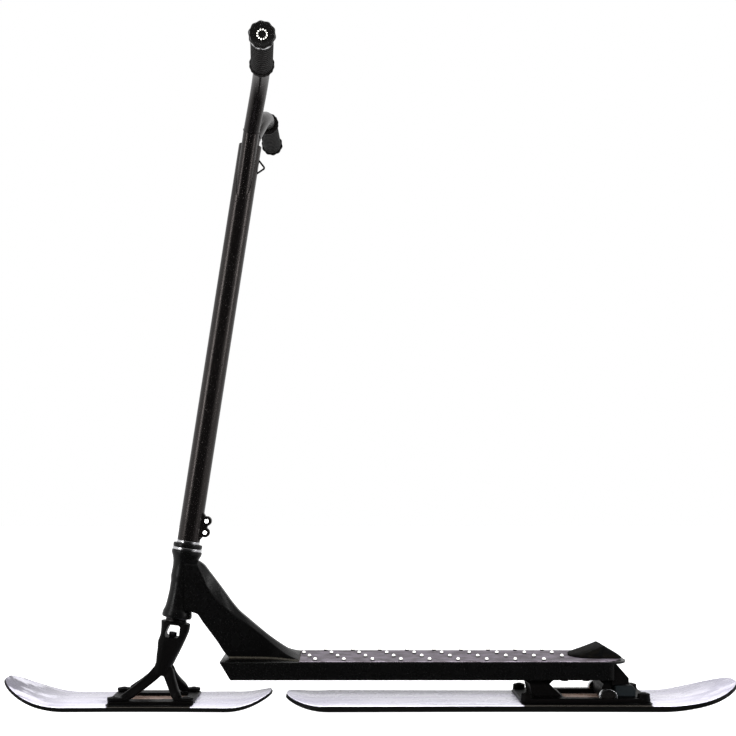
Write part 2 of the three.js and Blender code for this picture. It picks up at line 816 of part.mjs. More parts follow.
function forkLegs() {
  const upper = lean(forkBody(waistHeight, forkSeam - gap / 2));
  const lowRing = superRing(
    -saddleShares.ahead * crownRadius, archTop,
    saddleShares.halfX * crownRadius, saddleShares.halfY * crownRadius,
    saddlePower, castSides,
  );
  const saddle = lean(loft([lowRing, forkRingAt(waistHeight)]));
  const legs = frontBossX.flatMap((x) => [leg(x, -1), leg(x, 1)]);
  const feet = corners(frontBossX).map(([x, y]) => (
    post(x, y, frontBossRadius, front.bossBottom, front.bossTop, medium)
  ));
  const shoes = frontBossX.flatMap((x) => sideNames.map(([, side]) => {
    const inner = x - Math.sign(x) * (legFootInset + legRadius);
    const y = side * bossSpread;
    return plate(
      roundedBox(Math.min(x, inner), Math.max(x, inner), y - legRadius, y + legRadius, legRadius / 2, 3),
      front.bossBottom,
      front.bossTop - gap,
    );
  }));
  const headHole = lean(post(
    forkBoltX, 0, forkBoltHead / 2 + gap,
    archTop - 2 * legRadius, boltSeat, coarse,
  ));
  const shankHole = lean(post(forkBoltX, 0, forkBoltHole, archTop, forkSeam + overrun, coarse));
  const floor = plate(
    roundedBox(-frontFrameFront, frontFrameRear, -frameHalfWidth, frameHalfWidth, frameCorner),
    front.frameBottom,
    front.bossBottom,
  );
  const solid = join([upper, saddle, ...legs, ...feet, ...shoes]);
  const footHoles = corners(frontBossX).flatMap((corner) => footCutters(corner, front));
  return toGeometry(cut(solid, [headHole, shankHole, floor, ...footHoles]));
}
add(scooter, 'fork_legs', forkLegs(), castBlack);

const forkBoltProfile = [
  [0, boltSeat - gap - forkBoltHeadHeight],
  [forkBoltHead / 2, boltSeat - gap - forkBoltHeadHeight],
  [forkBoltHead / 2, boltSeat - gap],
  [forkBolt / 2, boltSeat - gap],
  [forkBolt / 2, nutFloor + gap + forkNutHeight + gap],
  [0, nutFloor + gap + forkNutHeight + gap],
];
add(leaning, 'fork_bolt', turned(forkBoltProfile, coarse).translate(forkBoltX, 0, 0), brightSteel);
add(leaning, 'fork_nut', plate(
  circle(forkBoltX, 0, forkNutAcross / 2, 6),
  nutFloor + gap,
  nutFloor + gap + forkNutHeight,
  [circle(forkBoltX, 0, forkBolt / 2 + gap, coarse)],
), brightSteel);

// Steerer tube, crown race, bearings and head tube

add(leaning, 'steerer_tube', ring(steererBore, steererRadius, steererBottom, steererTop, fine), darkSteel);
const raceTop = headTubeBottom + bearingRecess - gap;
add(leaning, 'crown_race', ring(steererFit, raceRadius, steererBottom, raceTop, fine), darkSteel);
const lowerBearing = headTubeBottom + bearingRecess;
const upperBearing = headTubeTop - bearingRecess - bearingHeight;
const bearingRing = (z) => ring(steererFit, bearingDiameter / 2, z, z + bearingHeight, fine);
add(leaning, 'lower_bearing', bearingRing(lowerBearing), brightSteel);
add(leaning, 'upper_bearing', bearingRing(upperBearing), brightSteel);

// Outside of the head tube: share of its length, then how much of bell, waist or collar shows
const headTubeShares = [
  [0.0, 'bell', 0.985],
  [0.035, 'bell', 1.0],
  [0.085, 'bell', 0.965],
  [0.14, 'bell', 0.88],
  [0.2, 'bell', 0.835],
  [0.29, 'waist', 1.04],
  [0.4, 'waist', 1.0],
  [0.53, 'waist', 1.0],
  [0.57, 'waist', 1.035],
  [0.61, 'waist', 1.06],
  [0.67, 'waist', 1.045],
  [0.75, 'waist', 1.03],
  [0.82, 'waist', 1.06],
  [0.88, 'collar', 0.86],
  [0.93, 'collar', 0.945],
  [0.965, 'collar', 1.0],
  [1.0, 'collar', 1.0],
];
const headTubeRadii = { bell: headTubeBell, waist: headTubeWaist, collar: headTubeCollar };
const headTubeOutside = headTubeShares.map(([share, part, size]) => [
  headTubeRadii[part] * size,
  headTubeBottom + share * headTubeLength,
]);

function headTube() {
  const bore = headTubeBore / 2;
  const inside = [
    [pocketRadius, headTubeTop],
    [pocketRadius, headTubeTop - pocketDepth],
    [bore, headTubeTop - pocketDepth],
    [bore, headTubeBottom + pocketDepth],
    [pocketRadius, headTubeBottom + pocketDepth],
    [pocketRadius, headTubeBottom],
  ];
  return turned([...headTubeOutside, ...inside], fine);
}
add(leaning, 'head_tube', headTube(), framePaint);

// Rings above the head tube
const cup = ring(steererFit, cupRadius, cupBottom, cupBottom + cupHeight, fine);
add(leaning, 'headset_cup', cup, brightSteel);
add(leaning, 'headset_cover', turned([
  [steererFit, coverBottom],
  [coverRadius - coverBevel, coverBottom],
  [coverRadius, coverBottom + coverBevel],
  [coverRadius, coverBottom + coverHeight - coverBevel],
  [coverRadius - coverBevel, coverBottom + coverHeight],
  [steererFit, coverBottom + coverHeight],
], fine), plugPlastic);
const spacer = ring(steererFit, spacerRadius, spacerBottom, barBottom - gap, fine);
add(leaning, 'headset_spacer', spacer, brightSteel);

// Headset preload: star nut in the steerer, cap and bolt above it
const shimOuter = barBore - gap;
const slitCutter = (radius, top) => plate(
  roundedBox(0, radius + overrun, -slitWidth / 2, slitWidth / 2, slitWidth / 3, 2),
  barBottom - overrun,
  top,
);
add(bars, 'steerer_shim', carve(
  ring(steererFit, shimOuter, barBottom, steererTop, fine),
  slitCutter(shimOuter, steererTop + overrun),
), darkSteel);
const starPoints = 8;
const starNotchShare = 0.78;
const starOutline = Array.from({ length: 2 * starPoints }, (unused, i) => {
  const angle = (Math.PI * i) / starPoints;
  const radius = (steererBore - gap) * (i % 2 ? starNotchShare : 1);
  return [radius * Math.cos(angle), radius * Math.sin(angle)];
});
const threadHole = circle(0, 0, compressionBolt / 2 + gap, coarse);
const starBottom = steererTop - starNutDepth;
const starNut = plate(starOutline, starBottom, starBottom + starNutHeight, [threadHole]);
add(leaning, 'star_nut', starNut, brightSteel);
const capBottom = steererTop + gap;
const capTop = capBottom + capHeight;
add(leaning, 'compression_cap', plate(
  circle(0, 0, shimOuter, fine), capBottom, capTop, [threadHole],
), darkSteel);
const compressionProfile = [
  [0, capTop + gap - compressionBoltLength],
  [compressionBolt / 2, capTop + gap - compressionBoltLength],
  [compressionBolt / 2, capTop + gap],
  [compressionHead / 2, capTop + gap],
  [compressionHead / 2, capTop + gap + compressionBolt],
  [0, capTop + gap + compressionBolt],
];
add(leaning, 'compression_bolt', turned(compressionProfile, coarse), darkSteel);

// Handlebar

add(bars, 'bar_tube', carve(
  ring(barBore, barRadius, barBottom, barTop, fine),
  slitCutter(barRadius, barBottom + slitLength),
), barPaint);

// Corners of an arm's centreline: foot, kink, bend and outer end
function armCorners(side) {
  const corner = (setback, spread, rise) => new THREE.Vector3(setback, side * spread, barTop + rise);
  return [
    corner(0, armFootSpread, -armFootDrop),
    corner(0, armKinkSpread, armKinkRise),
    corner(armBendSetback, armBendSpread, armBendRise),
    corner(armEndSetback, barHalfWidth - barEndThickness - gap, armBendRise + armEndRise),
  ];
}

function barArm(side) {
  const path = roundedPath(armCorners(side), [armKinkRound, armBendRound]);
  const bore = rod(lengthened(path), armRadius - armWall, medium);
  const low = barTop - armFootDrop - armDiameter;
  const high = barTop + armKinkRise + armDiameter;
  const tubeRoom = post(0, 0, barRadius + gap, low, barTop + gap, fine);
  const half = side > 0 ? [-armDiameter - overrun, 0] : [0, armDiameter + overrun];
  const farSide = slab([
    [-armDiameter, low], [armDiameter, low], [armDiameter, high], [-armDiameter, high],
  ], half[0], half[1]);
  return carve(rod(path, armRadius, medium), bore, tubeRoom, farSide);
}
for (const [name, side] of sideNames) {
  add(bars, `bar_arm_${name}`, barArm(side), barPaint);
}

// Bent wire eye, its feet against the rear of the bars
function leashLoop() {
  const seat = barRadius - loopWire * loopSeatShare;
  const high = barTop - loopDrop;
  const low = high - loopHeight;
  const wire = roundedPath([
    new THREE.Vector3(seat, 0, low),
    new THREE.Vector3(barRadius + loopReach - loopWire / 2, 0, (low + high - loopWire) / 2),
    new THREE.Vector3(seat, 0, high),
  ], [loopWire]);
  const room = post(0, 0, barRadius + gap, low - 2 * loopWire, high + 2 * loopWire, fine);
  return carve(rod(wire, loopWire / 2, 8), room);
}
add(bars, 'leash_loop', leashLoop(), darkSteel);

// Two lobed lugs, one each side of the slit, with a bolt through each lobe
const lugWebLow = barBottom + lugFootRise;
const lugWebHigh = lugWebLow + lugWebHeight;
const lugLow = barBottom + clampBoltRise;
const lugHigh = lugLow + clampBoltSpacing;
const lugHeights = [lugLow, lugHigh];
const clampHole = clampBolt / 2 + gap;

function clampLug(side) {
  const near = slitWidth / 2;
  const ends = side > 0 ? [near, near + lugThickness] : [-near - lugThickness, -near];
  const webPoints = [
    [0, lugWebLow], [lugOffset - lugRadius, lugWebLow], [lugOffset, lugLow - lugRadius / 2],
    [lugOffset + lugRadius / 3, (lugLow + lugHigh) / 2],
    [lugOffset, lugHigh + lugRadius / 2], [lugOffset - lugRadius, lugWebHigh], [0, lugWebHigh],
  ];
  const lobes = lugHeights.map((height) => pin(lugOffset, height, lugRadius, ends[0], ends[1], medium));
  const holes = lugHeights.map((height) => (
    pin(lugOffset, height, clampHole, ends[0] - overrun, ends[1] + overrun, coarse)
  ));
  const room = post(0, 0, barRadius + gap, lugWebLow - overrun, lugWebHigh + overrun, fine);
  return toGeometry(cut(join([slab(webPoints, ends[0], ends[1]), ...lobes]), [room, ...holes]));
}
for (const [name, side] of sideNames) {
  add(bars, `clamp_lug_${name}`, clampLug(side), barPaint);
}
const lugOutside = slitWidth / 2 + lugThickness;
for (const [name, height] of [['lower', lugLow], ['upper', lugHigh]]) {
  const shank = pin(lugOffset, height, clampBolt / 2, -lugOutside, lugOutside + 2 * gap, coarse);
  const headSeat = lugOutside + gap;
  const head = pin(lugOffset, height, clampBoltHead / 2, headSeat, headSeat + clampBoltHeadHeight, coarse);
  add(bars, `clamp_bolt_${name}`, toGeometry(join([shank, head])), brightSteel);
}

// Grips and bar-end plugs, turned along the last straight of each arm

function armEndFrame(side) {
  const [start, end] = armCorners(side).slice(2);
  const axis = new THREE.Vector3().subVectors(end, start).normalize();
  const turn = new THREE.Quaternion().setFromUnitVectors(new THREE.Vector3(0, 0, 1), axis);
  return new THREE.Matrix4().makeRotationFromQuaternion(turn).setPosition(end);
}

// Where each rib's top starts and ends and where the groove's floor lies, as shares of the pitch
const gripRibShares = { start: 0.1, end: 0.6, floor: 0.75 };

function gripProfile() {
  const length = barHalfWidth - barEndThickness - gripInner;
  const outer = gripDiameter / 2;
  const flange = gripFlangeDiameter / 2;
  const inner = armRadius + gap;
  const ribLength = length - 2 * gripFlangeWidth;
  const step = ribLength / gripRibCount;
  const ribs = Array.from({ length: gripRibCount }, (unused, i) => {
    const start = -gripFlangeWidth - step * i;
    return [
      [outer, start - step * gripRibShares.start],
      [outer, start - step * gripRibShares.end],
      [outer - gripRibDepth, start - step * gripRibShares.floor],
    ];
  }).flat();
  return [
    [inner, -gap], [outer, -gap], [outer, -gripFlangeWidth],
    ...ribs,
    [outer, gripFlangeWidth - length], [flange, gripFlangeWidth - length],
    [flange, -length], [inner, -length],
  ];
}

const barEndRadius = barEndDiameter / 2;
const barEndFaceShare = 0.86;
const barEndRimShare = 0.6;
const barEndProfile = [
  [0, gap - barEndSpigotLength],
  [armRadius - armWall - gap, gap - barEndSpigotLength],
  [armRadius - armWall - gap, gap],
  [barEndRadius, gap],
  [barEndRadius, gap + barEndThickness * barEndRimShare],
  [barEndRadius * barEndFaceShare, gap + barEndThickness],
  [0, gap + barEndThickness],
];
for (const [name, side] of sideNames) {
  const place = armEndFrame(side);
  add(bars, `grip_${name}`, turned(gripProfile(), medium).applyMatrix4(place), gripRubber);
  add(bars, `bar_end_plug_${name}`, turned(barEndProfile, medium).applyMatrix4(place), plugPlastic);
}

// Deck: a box section with two inner webs, a slanted nose and a rounded lip over the tail

function deckExtrusion() {
  const section = roundedBox(-deckHalfWidth, deckHalfWidth, deckBottom, deckTop, deckEdge, 2);
  const ribLow = deckRibSpread - deckRibWall / 2;
  const ribHigh = deckRibSpread + deckRibWall / 2;
  const inside = deckHalfWidth - deckWall;
  const cells = [[-inside, -ribHigh], [-ribLow, ribLow], [ribHigh, inside]].map(([y0, y1]) => (
    roundedBox(y0, y1, deckBottom + deckWall, deckTop - deckWall, deckEdge, 1)
  ));
  const body = bar(section, deckNose, deckSideEnd + deckLip, cells);
  const across = deckHalfWidth + overrun;
  const noseCutter = slab([
    [deckNose - overrun, deckTop + overrun],
    [deckNose, deckTop],
    [deckNose + deckNoseSlant, deckBottom],
    [deckNose + deckNoseSlant, deckBottom - overrun],
    [deckNose - overrun, deckBottom - overrun],
  ].reverse(), -across, across);
  const underLip = slab([
    [deckSideEnd, deckBottom - overrun], [deckSideEnd + deckLip + overrun, deckBottom - overrun],
    [deckSideEnd + deckLip + overrun, deckTop - deckWall], [deckSideEnd, deckTop - deckWall],
  ], -across, across);
  const lipEnd = deckSideEnd + deckLip;
  const keep = plate(
    roundedBox(deckNose - overrun, lipEnd, -deckHalfWidth - gap, deckHalfWidth + gap, deckLipRound, 8),
    deckBottom - overrun,
    deckTop + overrun,
  );
  const frontKeep = plate([
    [deckNose - overrun, -across], [deckSideEnd - deckLipRound, -across],
    [deckSideEnd - deckLipRound, across], [deckNose - overrun, across],
  ], deckBottom - overrun, deckTop + overrun);
  const solid = toSolid(body).intersect(join([keep, frontKeep]));
  const boltHoles = bracketBoltPlaces.map(([, x]) => (
    post(x, 0, bracketBoltHole, deckBottom - overrun, deckBottom + deckWall + overrun, coarse)
  ));
  return toGeometry(cut(solid, [noseCutter, underLip, ...boltHoles]).add(toSolid(noseWall())));
}

// Welded wall that closes the slanted nose
function noseWall() {
  const slope = deckNoseSlant / deckHeight;
  const run = nosePlate * Math.hypot(1, slope);
  const half = deckHalfWidth - deckEdge;
  const low = deckBottom + deckEdge;
  const high = deckTop - deckEdge;
  const face = (z) => deckNose + (deckTop - z) * slope;
  return slab([
    [face(low), low], [face(low) + run, low],
    [face(high) + run, high], [face(high), high],
  ], -half, half);
}

const bracketBoltFront = pivotX - bracketBoltFrontAhead;
const bracketBoltRear = pivotX - bracketBoltRearAhead;
const bracketBoltPlaces = [['front', bracketBoltFront], ['rear', bracketBoltRear]];
const bracketBoltHole = (bracketBolt + boltHoleClearance) / 2;
add(scooter, 'deck_extrusion', deckExtrusion(), framePaint);

// Neck: upright slices from the head tube to its flared tail
// Shares: along the length; ridge, shoulder and underside of the height; width from waist to tail
const neckShares = [
  [0.0, 1.0, 0.955, 0.48, 0.0],
  [0.11, 0.985, 0.945, 0.447, 0.0],
  [0.165, 0.945, 0.83, 0.36, 0.0],
  [0.215, 0.87, 0.7, 0.282, 0.0],
  [0.29, 0.755, 0.575, 0.163, 0.0],
  [0.365, 0.635, 0.505, 0.035, 0.0],
  [0.405, 0.57, 0.46, 0.0, 0.0],
  [0.475, 0.472, 0.4, 0.0, 0.01],
  [0.55, 0.395, 0.345, 0.0, 0.03],
  [0.64, 0.305, 0.265, 0.0, 0.07],
  [0.73, 0.218, 0.182, 0.0, 0.15],
  [0.82, 0.142, 0.105, 0.0, 0.33],
  [0.91, 0.075, 0.045, 0.0, 0.66],
  [1.0, 0.022, 0.012, 0.0, 1.0],
];

function neck() {
  const bottom = deckTop + gap;
  const height = neckTop - bottom;
  const length = neckTail - neckFront;
  const slices = neckShares.map(([along, ridge, shoulder, under, flare]) => {
    const x = neckFront + along * length;
    const half = neckHalfWidth + flare * (neckTailHalfWidth - neckHalfWidth);
    const ridgeZ = bottom + ridge * height;
    const shoulderZ = bottom + shoulder * height;
    const underZ = bottom + under * height;
    return [
      [x, -half, underZ], [x, -half, shoulderZ], [x, -neckRidgeHalfWidth, ridgeZ],
      [x, neckRidgeHalfWidth, ridgeZ], [x, half, shoulderZ], [x, half, underZ],
    ];
  });
  const room = lean(turned([
    [0, headTubeBottom - overrun], ...headTubeOutside.map(([radius, height2]) => [radius + gap, height2]),
    [0, headTubeTop + overrun],
  ], fine));
  return carve(loft(slices), room);
}
add(scooter, 'neck', neck(), framePaint);

// Grip sheet and its studs
const sheetHalf = deckHalfWidth - sheetEdge;
const sheetRear = deckSideEnd + deckLip - sheetTailInset;
const sheet = plate([
  [sheetFront, -sheetHalf],
  ...arc(sheetRear - deckLipRound, -sheetHalf + deckLipRound, deckLipRound, -Math.PI / 2, 0, 6),
  ...arc(sheetRear - deckLipRound, sheetHalf - deckLipRound, deckLipRound, 0, Math.PI / 2, 6),
  [sheetFront, sheetHalf],
], sheetBottom, sheetTop);

const studBottom = sheetBottom + sheetThickness / 2;
const studRadius = studDiameter / 2;
const studProfileShares = [[1, 0], [0.88, 0.5], [0.4, 0.92], [0, 1]];
const studProfile = [
  [0, studBottom],
  [studRadius, studBottom],
  ...studProfileShares.slice(1).map(([out, up]) => [studRadius * out, sheetTop + studHeight * up]),
];

// Studs in slanting lines across the deck, wherever the sheet is bare between the neck and the wedge
const studs = Array.from({ length: studRows }, (unused, row) => {
  const y = studEdge - deckHalfWidth + (row * (deckWidth - 2 * studEdge)) / (studRows - 1);
  const first = studStart + (studRows - 1 - row) * studStagger;
  const places = Array.from({ length: studColumns }, (alsoUnused, column) => first + column * studPitch);
  return places
    .filter((x) => x > sheetFront && x + studRadius < wedgeFront)
    .map((x) => turned(studProfile, studSides).translate(x, y, 0));
}).flat();
add(scooter, 'deck_grip_sheet', toGeometry(join([sheet, ...studs])), sheetGrit);

// Heel wedge: slices from side to side, highest over the ridge
// Shares: of the half-width, of the height, then how far the front and the rear draw in
const wedgeShares = [
  [0.0, 1.0, 0.0, 0.0],
  [0.45, 1.0, 0.06, 0.02],
  [0.8, 0.98, 0.27, 0.05],
  [0.94, 0.72, 0.5, 0.1],
  [1.0, 0.34, 0.72, 0.2],
];

function heelWedge() {
  const mirrored = [
    ...wedgeShares.slice(1).reverse().map(([y, ...rest]) => [-y, ...rest]),
    ...wedgeShares,
  ];
  const slices = mirrored.map(([side, rise, front, rear]) => {
    const y = side * wedgeHalfWidth;
    const x0 = wedgeFront + front * (wedgeRidge - wedgeFront);
    const x1 = wedgeRear - rear * (wedgeRear - wedgeRidge);
    const lip = wedgeBottom + wedgeLip * Math.min(1, rise * 2);
    return [
      [x0, y, wedgeBottom],
      [x0, y, lip],
      [wedgeRidge, y, wedgeBottom + rise * wedgeHeight],
      [x1, y, wedgeBottom + wedgeLip / 2],
      [x1, y, wedgeBottom],
    ];
  });
  return loft(slices);
}
add(scooter, 'heel_wedge', heelWedge(), wedgeRubber);

// Rear bracket: plate under the deck, front leg, rear leg with the pivot eye, and the tail block

const plateBottom = bracketTop - bracketPlate;
const bracketPlateFront = pivotX - bracketPlateAhead;
const bracketFootFront = pivotX - bracketFootFrontAhead;
const bracketTail = pivotX + bracketTailReach;
const tailBlockBottom = damperTop + damperClearance;
const tailBlockShoulder = tailBlockBottom + tailBlockHeight;

function rearBracket() {
  const legFront = slab([
    [bracketPlateFront, bracketTop],
    [bracketPlateFront, plateBottom + bracketPlate / 2],
    [bracketFootFront - bracketPlate, plateBottom - bracketPlate],
    [bracketFootFront, capFoot],
    [pivotX - bracketFootRearAhead, capFoot],
    [pivotX - bracketWindowTipAhead, plateBottom - bracketWindowTipDrop],
    [pivotX - bracketLegTopAhead, plateBottom],
    [pivotX - bracketRearLegTop, plateBottom],
    [pivotX - bracketRearLegNotch, plateBottom - bracketWindowTipDrop],
    [pivotX - pivotEyeRadius, plateBottom - 2 * bracketWindowTipDrop],
    [pivotX - pivotEyeRadius, pivotZ],
    [pivotX + pivotEyeRadius, pivotZ],
    [pivotX + pivotEyeRadius, tailBlockBottom],
    [bracketTail, tailBlockBottom],
    [bracketTail - gap, bracketTop],
  ], -bracketHalfWidth, bracketHalfWidth);
  const eye = pin(pivotX, pivotZ, pivotEyeRadius, -bracketHalfWidth, bracketHalfWidth, medium);
  const blockFront = deckSideEnd + gap;
  const blockTop = deckTop - deckWall - gap;
  const block = slab([
    [blockFront, tailBlockBottom], [bracketTail, tailBlockBottom], [bracketTail - gap, tailBlockShoulder],
    [blockFront + tailBlockTopLength, blockTop], [blockFront, blockTop],
  ], tailBlockInset - frameHalfWidth, frameHalfWidth - tailBlockInset);
  const across = bracketHalfWidth + overrun;
  const bore = pin(pivotX, pivotZ, pivotAxle / 2 + gap, -across, across, medium);
  const holes = bracketBoltPlaces.map(([, x]) => (
    post(x, 0, bracketBoltHole, plateBottom - overrun, bracketTop + overrun, coarse)
  ));
  return toGeometry(cut(join([legFront, eye, block]), [bore, ...holes]));
}
add(scooter, 'rear_bracket', rearBracket(), castBlack);

const bracketBoltSeat = plateBottom - gap;
const nutPlateBottom = deckBottom + deckWall + gap;
for (const [name, x] of bracketBoltPlaces) {
  add(scooter, `bracket_bolt_${name}`, turned([
    [0, bracketBoltSeat - bracketBoltHeadHeight],
    [bracketBoltHead / 2, bracketBoltSeat - bracketBoltHeadHeight],
    [bracketBoltHead / 2, bracketBoltSeat],
    [bracketBolt / 2, bracketBoltSeat],
    [bracketBolt / 2, nutPlateBottom + nutPlateHeight],
    [0, nutPlateBottom + nutPlateHeight],
  ], coarse).translate(x, 0, 0), darkSteel);
}
add(scooter, 'bracket_nut_plate', plate(
  roundedBox(
    bracketBoltFront - nutPlateEnd, bracketBoltRear + nutPlateEnd,
    -nutPlateWidth / 2, nutPlateWidth / 2, deckEdge, 1,
  ),
  nutPlateBottom,
  nutPlateBottom + nutPlateHeight,
  bracketBoltPlaces.map(([, x]) => circle(x, 0, bracketBolt / 2 + gap, coarse)),
), darkSteel);

// Rear pivot: caps over rubber bushes on the rails, with the axle between them

const capInnerRadius = capOuterRadius - capThickness;
const bushRadius = capInnerRadius - gap;
const axleHalf = capOuter - bushEnd - gap;

const halfRing = (inner, outer, count) => [
  ...arc(pivotX, capFoot, outer, 0, Math.PI, count),
  ...arc(pivotX, capFoot, inner, Math.PI, 0, count),
];

for (const [name, side] of sideNames) {
  const ends = side > 0 ? [capInner, capOuter] : [-capOuter, -capInner];
  const cap = slab(halfRing(capInnerRadius, capOuterRadius, coarse), ends[0], ends[1]);
  add(scooter, `pivot_cap_${name}`, cap, brightSteel);
  const dome = slab(arc(pivotX, capFoot, bushRadius, 0, Math.PI, coarse), ends[0], ends[1]);
  const foot = pin(pivotX, pivotZ, bushLowerRadius, ends[0], ends[1], medium);
  const bore = pin(pivotX, pivotZ, pivotAxle / 2 + gap, -axleHalf - gap, axleHalf + gap, medium);
  add(scooter, `pivot_bush_${name}`, toGeometry(cut(join([dome, foot]), [bore])), gripRubber);
}
add(scooter, 'pivot_axle', pin(pivotX, pivotZ, pivotAxle / 2, -axleHalf, axleHalf, medium), darkSteel);

// Damper block behind the pivot
const damperFront = pivotX + damperFrontReach;
const damperRear = damperFront + damperLength;
add(scooter, 'rear_damper', slab([
  [damperFront, capFoot], [damperRear, capFoot],
  ...arc(damperRear - damperRound, damperTop - damperRound, damperRound, 0, Math.PI / 2, 6),
  [damperFront, damperTop],
], damperSideClearance - railInner, railInner - damperSideClearance), damperRubber);

// The origin is on the ground, midway between the front nose and the rear tail
const object = new THREE.Group();
scooter.position.x = -(frontSki.nose + rearSki.tail) / 2;
object.add(scooter);
object.updateMatrixWorld(true);

export default object;
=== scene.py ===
# Snow scooter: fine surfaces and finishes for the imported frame, with plain studio light.
# Lengths are millimetres until to_frame() turns them into metres. +Z is up, the nose points to -X,
# and X is measured from the point where the steering axis meets the ground. Camera, lights and floor
# are given in metres and in the frame.

import json
import math

import bmesh
import bpy
import numpy as np
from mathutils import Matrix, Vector


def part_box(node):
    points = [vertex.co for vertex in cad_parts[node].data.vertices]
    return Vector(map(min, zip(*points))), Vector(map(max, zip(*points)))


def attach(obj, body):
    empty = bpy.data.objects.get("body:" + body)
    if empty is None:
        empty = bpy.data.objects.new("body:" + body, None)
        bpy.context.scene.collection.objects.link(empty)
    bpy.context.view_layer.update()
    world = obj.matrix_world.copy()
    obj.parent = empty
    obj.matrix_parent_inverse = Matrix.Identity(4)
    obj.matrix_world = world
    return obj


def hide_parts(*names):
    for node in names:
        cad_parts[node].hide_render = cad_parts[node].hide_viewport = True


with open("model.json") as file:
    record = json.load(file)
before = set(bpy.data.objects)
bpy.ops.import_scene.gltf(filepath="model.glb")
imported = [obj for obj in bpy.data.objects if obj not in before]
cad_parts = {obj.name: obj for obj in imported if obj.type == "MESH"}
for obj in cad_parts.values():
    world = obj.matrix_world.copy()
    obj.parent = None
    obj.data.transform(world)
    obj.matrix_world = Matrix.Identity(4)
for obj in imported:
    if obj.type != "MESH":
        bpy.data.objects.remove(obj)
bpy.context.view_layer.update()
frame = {"nodes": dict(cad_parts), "record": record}

# Units and gaps
MM = 0.001
GAP = 0.3
OVERRUN = 2.0
MERGE = 0.002
SIDES = [("left", -1), ("right", 1)]

# Steering axis
LEAN = math.radians(8.87)
FRONT_NOSE_REACH = 219.4
AXIS_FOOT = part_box("front_ski_base")[0][0] / MM + FRONT_NOSE_REACH

# Skis
SKI_WIDTH = 142.0
SKI_SIDECUT = 3.0
SKI_END_ROUND = 62.0
SKI_TIP_FLAT = 24.0
SKI_TIP_THIN = 0.6
SKI_BASE_TOP = 1.3
CORE_BOTTOM = 1.6
INSERT_HEIGHT = 3.0
PIVOT_X = 614.3
PIVOT_Z = 15.8
FRONT_SKI = {
    "nose": -FRONT_NOSE_REACH, "tail": 153.1,
    "nose_curve": 95.0, "nose_rise": 35.0, "tail_curve": 60.0, "tail_rise": 16.5,
    "core_top": 5.6, "sheet": (5.9, 6.7), "frame": (7.0, 11.4), "boss": (11.7, 16.3), "boss_radius": 9.5,
}
REAR_SKI = {
    "nose": 171.9, "tail": PIVOT_X + 185.8,
    "nose_curve": 58.0, "nose_rise": 12.0, "tail_curve": 118.0, "tail_rise": 30.0,
    "core_top": 7.6, "sheet": (7.9, 8.7), "frame": (9.0, 15.5), "boss": (15.8, 22.0), "boss_radius": 8.5,
}

# Frames on the skis and their bolts
FRAME_HALF = 53.5
FRAME_CORNER = 9.0
FLANGE_HALF = 66.5
FLANGE_THICKNESS = 1.4
BOSS_Y = FRAME_HALF - 9.2
FRONT_FRAME = (-70.7, 47.3)
FRONT_WINDOW = (-54.7, 32.8, 27.0)
REAR_FRAME = (PIVOT_X - 120.0, PIVOT_X + 58.0)
REAR_WINDOW = (PIVOT_X - 58.3, PIVOT_X + 8.2, 37.0)
FRONT_BOSS_X = (-61.5, 38.1)
REAR_BOSS_X = (503.5, 663.1)
BOLT_HEAD = 10.5
BOLT_HEAD_HEIGHT = 3.3
HEAD_RECESS = 2.4
CORNER_NAMES = ["nose_left", "nose_right", "tail_left", "tail_right"]

# Fork
CROWN_TOP = 116.3
CROWN_RADIUS = 20.5
WAIST_HEIGHT = 54.1
FORK_SEAM = 86.0
ARCH_TOP = 41.0
LEG_RADIUS = 6.6
LEG_FOOT_INSET = 12.0
FORK_BOLT_X = -1.6

# Head tube, its rings and the bars, which are clamped slightly turned
BAR_TURN = math.radians(1.8)
HEAD_TUBE_BOTTOM = 122.8
HEAD_TUBE_LENGTH = 94.5
BELL = 20.8
WAIST = 15.9
COLLAR = 21.0
CUP = (217.6, 221.5)
COVER = (221.8, 227.2)
SPACER = (227.5, 231.2)
BAR_BOTTOM = 231.5
BAR_TOP = 791.0
BAR_RADIUS = 15.9
BAR_BORE = 14.3
SLIT_WIDTH = 3.0
SLIT_LENGTH = 44.5
STEERER_RADIUS = 12.7
ARM_RADIUS = 11.1
ARM_END_SPREAD = 281.2
ARM_BEND_ROUND = 42.0

# Grips and bar ends, measured back from the end of the arm
GRIP_LENGTH = 128.5
GRIP_RADIUS = 14.3
GRIP_FLANGE = 16.5
GRIP_FLANGE_WIDTH = 4.5
GRIP_RIBS = 14
PLUG_RADIUS = 17.0

# Clamp lugs and leash loop
LUG_OFFSET = 21.1
LUG_RADIUS = 6.7
LUG_HEIGHTS = (BAR_BOTTOM + 14.7, BAR_BOTTOM + 30.9)
LUG_WEB = (BAR_BOTTOM + 1.5, BAR_BOTTOM + 42.5)
LUG_FACES = (1.5, 7.5)
CLAMP_HEAD = 9.4
LOOP_WIRE = 2.6
LOOP_HIGH = BAR_TOP - 18.6
LOOP_LOW = LOOP_HIGH - 19.0
LOOP_REACH = 10.5

# Deck
DECK_NOSE = 84.3
DECK_SLANT = 15.0
DECK_SIDE_END = 619.3
DECK_LIP = 20.7
LIP_ROUND = 34.0
DECK_HALF = 64.0
DECK_TOP = 66.5
DECK_BOTTOM = 42.0
DECK_WALL = 3.0
DECK_EDGE = 1.5
SHEET_LOW = 66.8
SHEET_HIGH = 67.8
SHEET_FRONT = 192.2
SHEET_HALF = 61.0
SHEET_REAR = 632.0
STUD_RADIUS = 2.7
STUD_HEIGHT = 4.6

# Neck
NECK_FRONT = 31.0
NECK_TAIL = 191.0
NECK_TOP = 203.0
NECK_HALF = 18.0
NECK_RIDGE = 7.0
NECK_TAIL_HALF = 52.0

